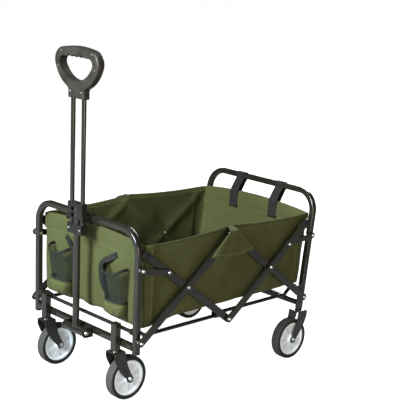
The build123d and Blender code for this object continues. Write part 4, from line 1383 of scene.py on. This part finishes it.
@dataclass
class Wheel:
    """One wheel: a ribbed pale disc and a solid tyre with a scuffed, cross-cut tread."""

    end: End
    side: Side
    finishes: Materials
    steps: int = 192
    spokes: int = 18
    spoke_depth: float = 0.0006
    spoke_band: tuple[Pair, Pair] = ((0.015, 0.021), (0.040, 0.046))
    flow_band: tuple[Pair, Pair] = ((0.014, 0.020), (0.042, 0.048))
    tread_cuts: int = 96
    tread_depth: float = 0.0010
    flow_waves: Waves = ((7, 0.7, 0.3), (11, 2.1, 0.2), (19, 0.0, 0.15))
    groove_place: float = 0.0056
    groove_width: float = 0.0009
    hub_half: tuple[Pair, ...] = (
        (0.0188, 0.0052), (0.0190, 0.0062), (0.0190, 0.0118), (0.0184, 0.0128), (0.0130, 0.0140),
        (0.0116, 0.0160), (0.0110, 0.0220), (0.0108, 0.0300), (0.0110, 0.0380), (0.0114, 0.0440),
        (0.0118, 0.0470), (0.0138, 0.0484), (0.0146, 0.0500), (0.0149, 0.0540), (0.0146, 0.0566))
    tyre_half: tuple[Pair, ...] = (
        (0.0148, 0.0570), (0.0160, 0.0576), (0.0168, 0.0590), (0.0165, 0.0600), (0.0169, 0.0612),
        (0.0170, 0.0636), (0.0167, 0.0656), (0.0156, 0.0677), (0.0138, 0.0691), (0.0112, 0.0698),
        (0.0084, 0.0700), (0.0056, 0.0700), (0.0030, 0.0700), (0.0010, 0.0700))

    def node(self, part: str) -> str:
        """Name of this wheel's part."""
        return f"{self.end.name.lower()}_{part}_{self.side.name.lower()}"

    def hub(self, middle: Vector) -> Surface:
        """The disc: boss, dish, ring step and rim lip turned about the axle, with ribs on its faces.

        Args:
            middle: the middle of the axle.

        Returns:
            The disc's surface.
        """
        def flow(turn: Array, along: Array, radius: Array) -> dict[str, Array]:
            """Flow marks: a few uneven sectors, strongest at mid radius.

            Args:
                turn: angle round the axle.
                along: distance along the axle.
                radius: distance from it.

            Returns:
                The strength of the marks, 0 to 1.
            """
            face = band(radius, *self.flow_band)
            wave = 0.5 + sum(high * np.sin(count * turn + phase) for count, phase, high in self.flow_waves)
            return {"flow": np.clip(face * wave, 0.0, 1.0)}

        skin = lathe(mirrored(self.hub_half), middle, self.steps, values=flow)
        x, y, z = (skin.points - np.array(middle)).T
        reach = np.hypot(x, z)
        face = band(reach, *self.spoke_band)
        rib = bell(np.mod(np.arctan2(z, x) * self.spokes / (2 * math.pi), 1.0), 0.5, 0.14)
        skin.points[:, 1] += np.sign(y) * face * rib * self.spoke_depth
        return skin

    def tyre(self, middle: Vector) -> Surface:
        """The tyre: seat, beaded flanks, shoulders and flat tread, with cross cuts and two grooves round.

        Args:
            middle: the middle of the axle.

        Returns:
            The tyre's surface.
        """
        def cuts(turn: Array, along: Array, radius: Array) -> Array:
            """Depth of the tread: narrow slanted cuts, none on the flanks.

            Args:
                turn: angle round the axle.
                along: distance along the axle.
                radius: distance from it.

            Returns:
                The radius added, 0 or less.
            """
            tread = smooth_step(radius, 0.0668, 0.0690)
            slant = np.sin(self.tread_cuts * turn + 180.0 * np.abs(along))
            groove = bell(np.abs(along), self.groove_place, self.groove_width)
            return -tread * self.tread_depth * np.maximum(smooth_step(slant, 0.5, 0.9), groove)

        def wear(turn: Array, along: Array, radius: Array) -> dict[str, Array]:
            """Scuffing: on the tread alone."""
            return {"wear": smooth_step(radius, 0.0672, 0.0698)}

        return lathe(mirrored(self.tyre_half), middle, 4 * self.tread_cuts, cuts, wear)

    def build(self) -> list[Piece]:
        """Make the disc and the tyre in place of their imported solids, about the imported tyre's middle.

        Returns:
            The new pieces.
        """
        low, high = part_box(self.node("tyre"))
        middle = (low + high) / 2
        body = self.node("wheel")
        hub = self.hub(middle).make(self.node("wheel_disc"), self.finishes["hub_plastic"])
        tyre = self.tyre(middle).make(self.node("wheel_tyre"), self.finishes["tyre"])
        for piece, part, slot in ((hub, "hub", "hub_plastic"), (tyre, "tyre", "tyre")):
            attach(piece, body)
            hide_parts(self.node(part))
        return [hub, tyre]


@dataclass
class Studio:
    """Pale floor, soft light and the photograph's viewpoint."""

    azimuth: float = 136.586
    elevation: float = 13.200
    roll: float = 2.303
    distance: float = 3.476477
    focal_pixels: float = 1070.768
    sensor: float = 36.0
    target: Vector = field(default_factory=lambda: Vector((0.0, 0.119374, 0.574247)))
    lamp_aim: Vector = field(default_factory=lambda: Vector((0.0, 0.0, 0.35)))
    floor_size: float = 40.0
    pale: Colour = rgb(0.27, 0.27, 0.27)
    paler: Colour = rgb(0.30, 0.30, 0.30)
    floor_glow: float = 0.97
    sky_light: float = 0.062

    def camera(self) -> None:
        """Place the camera at the photograph's angle, with no lens shift."""
        lens = bpy.data.cameras.new("camera")
        lens.sensor_width = self.sensor
        lens.lens = self.focal_pixels / IMAGE_WIDTH * lens.sensor_width
        lens.clip_end = 100.0
        camera = bpy.data.objects.new("camera", lens)
        bpy.context.scene.collection.objects.link(camera)
        azimuth, elevation, turn = map(math.radians, (self.azimuth, self.elevation, self.roll))
        back = Vector((math.sin(azimuth) * math.cos(elevation), -math.cos(azimuth) * math.cos(elevation),
                       math.sin(elevation)))
        right = Vector((math.cos(azimuth), math.sin(azimuth), 0.0))
        up = back.cross(right)
        tilted = right * math.cos(turn) + up * math.sin(turn)
        upright = up * math.cos(turn) - right * math.sin(turn)
        rotation = Matrix((tilted, upright, back)).transposed()
        camera.matrix_world = Matrix.Translation(self.target + back * self.distance) @ rotation.to_4x4()
        bpy.context.scene.camera = camera

    def light(self) -> None:
        """A large key from the front, a warm fill from the side, a top light and a back light."""
        lamps = (("key", (3.6, 0.3, 2.2), 1.4, 490.0, (0.80, 0.93, 1.0)),
                 ("fill", (1.2, 3.9, 1.0), 2.0, 84.0, (1.0, 0.94, 0.76)),
                 ("top", (-0.4, 0.2, 3.6), 1.6, 12.0, (1.0, 1.0, 1.0)),
                 ("back", (-3.2, -1.4, 2.0), 1.6, 150.0, (1.0, 0.98, 0.94)))
        for name, place, size, power, tint in lamps:
            data = bpy.data.lights.new(name, "AREA")
            data.size, data.energy, data.color = size, power, tint
            lamp = bpy.data.objects.new(name, data)
            lamp.location = place
            lamp.rotation_euler = (Vector(place) - self.lamp_aim).to_track_quat("Z", "Y").to_euler()
            bpy.context.scene.collection.objects.link(lamp)

    def sky(self) -> None:
        """An even sky that lights softly and shows white to the camera."""
        shader = Shader.world("sky")
        strength = shader.fit(shader.camera_ray(), 0.0, 1.0, self.sky_light, 1.0)
        bpy.context.scene.world = shader.dress(Color=rgb(1.0, 1.0, 1.0), Strength=strength)

    def floor(self) -> None:
        """A wide pale floor under the wheels, which shows white to the camera."""
        reach = np.array([-self.floor_size / 2, self.floor_size / 2])
        corners = stack(reach, reach[:, None], 0.0)
        shader = Shader.material("studio_floor")
        shader.dress(Base_Color=shader.mix(shader.noise(1.5, 2.0), self.pale, self.paler), Roughness=0.9,
                     Emission_Color=shader.mix(shader.camera_ray(), rgb(0.0, 0.0, 0.0), rgb(1.0, 1.0, 1.0)),
                     Emission_Strength=self.floor_glow)
        plane = Surface.grid(corners, corners[..., :2]).make("studio_floor", shader.block)

    def build(self) -> None:
        """Set up the view, the lights and the floor."""
        bpy.context.scene.view_settings.view_transform = "Standard"
        self.camera()
        self.light()
        self.sky()
        self.floor()


def main() -> None:
    """Build the wagon's looks in order and report each piece."""
    logging.basicConfig(level=logging.INFO, format="%(name)s: %(message)s")
    Studio().build()
    finishes = {slot: finish.build() for slot, finish in FINISHES.items()}
    dress_frame(finishes)
    tub = Tub(Frame(), finishes)
    makers = [tub, Flaps(tub), Pockets(tub, End.FRONT), Pockets(tub, End.REAR), FrontLoops(tub),
              BarStraps(tub)]
    makers += [Wheel(end, side, finishes) for end in End for side in Side]
    for maker in makers:
        for piece in maker.build():
            LOG.info("%s: %d faces", piece.name, len(piece.data.polygons))


if __name__ == "__main__":
    main()
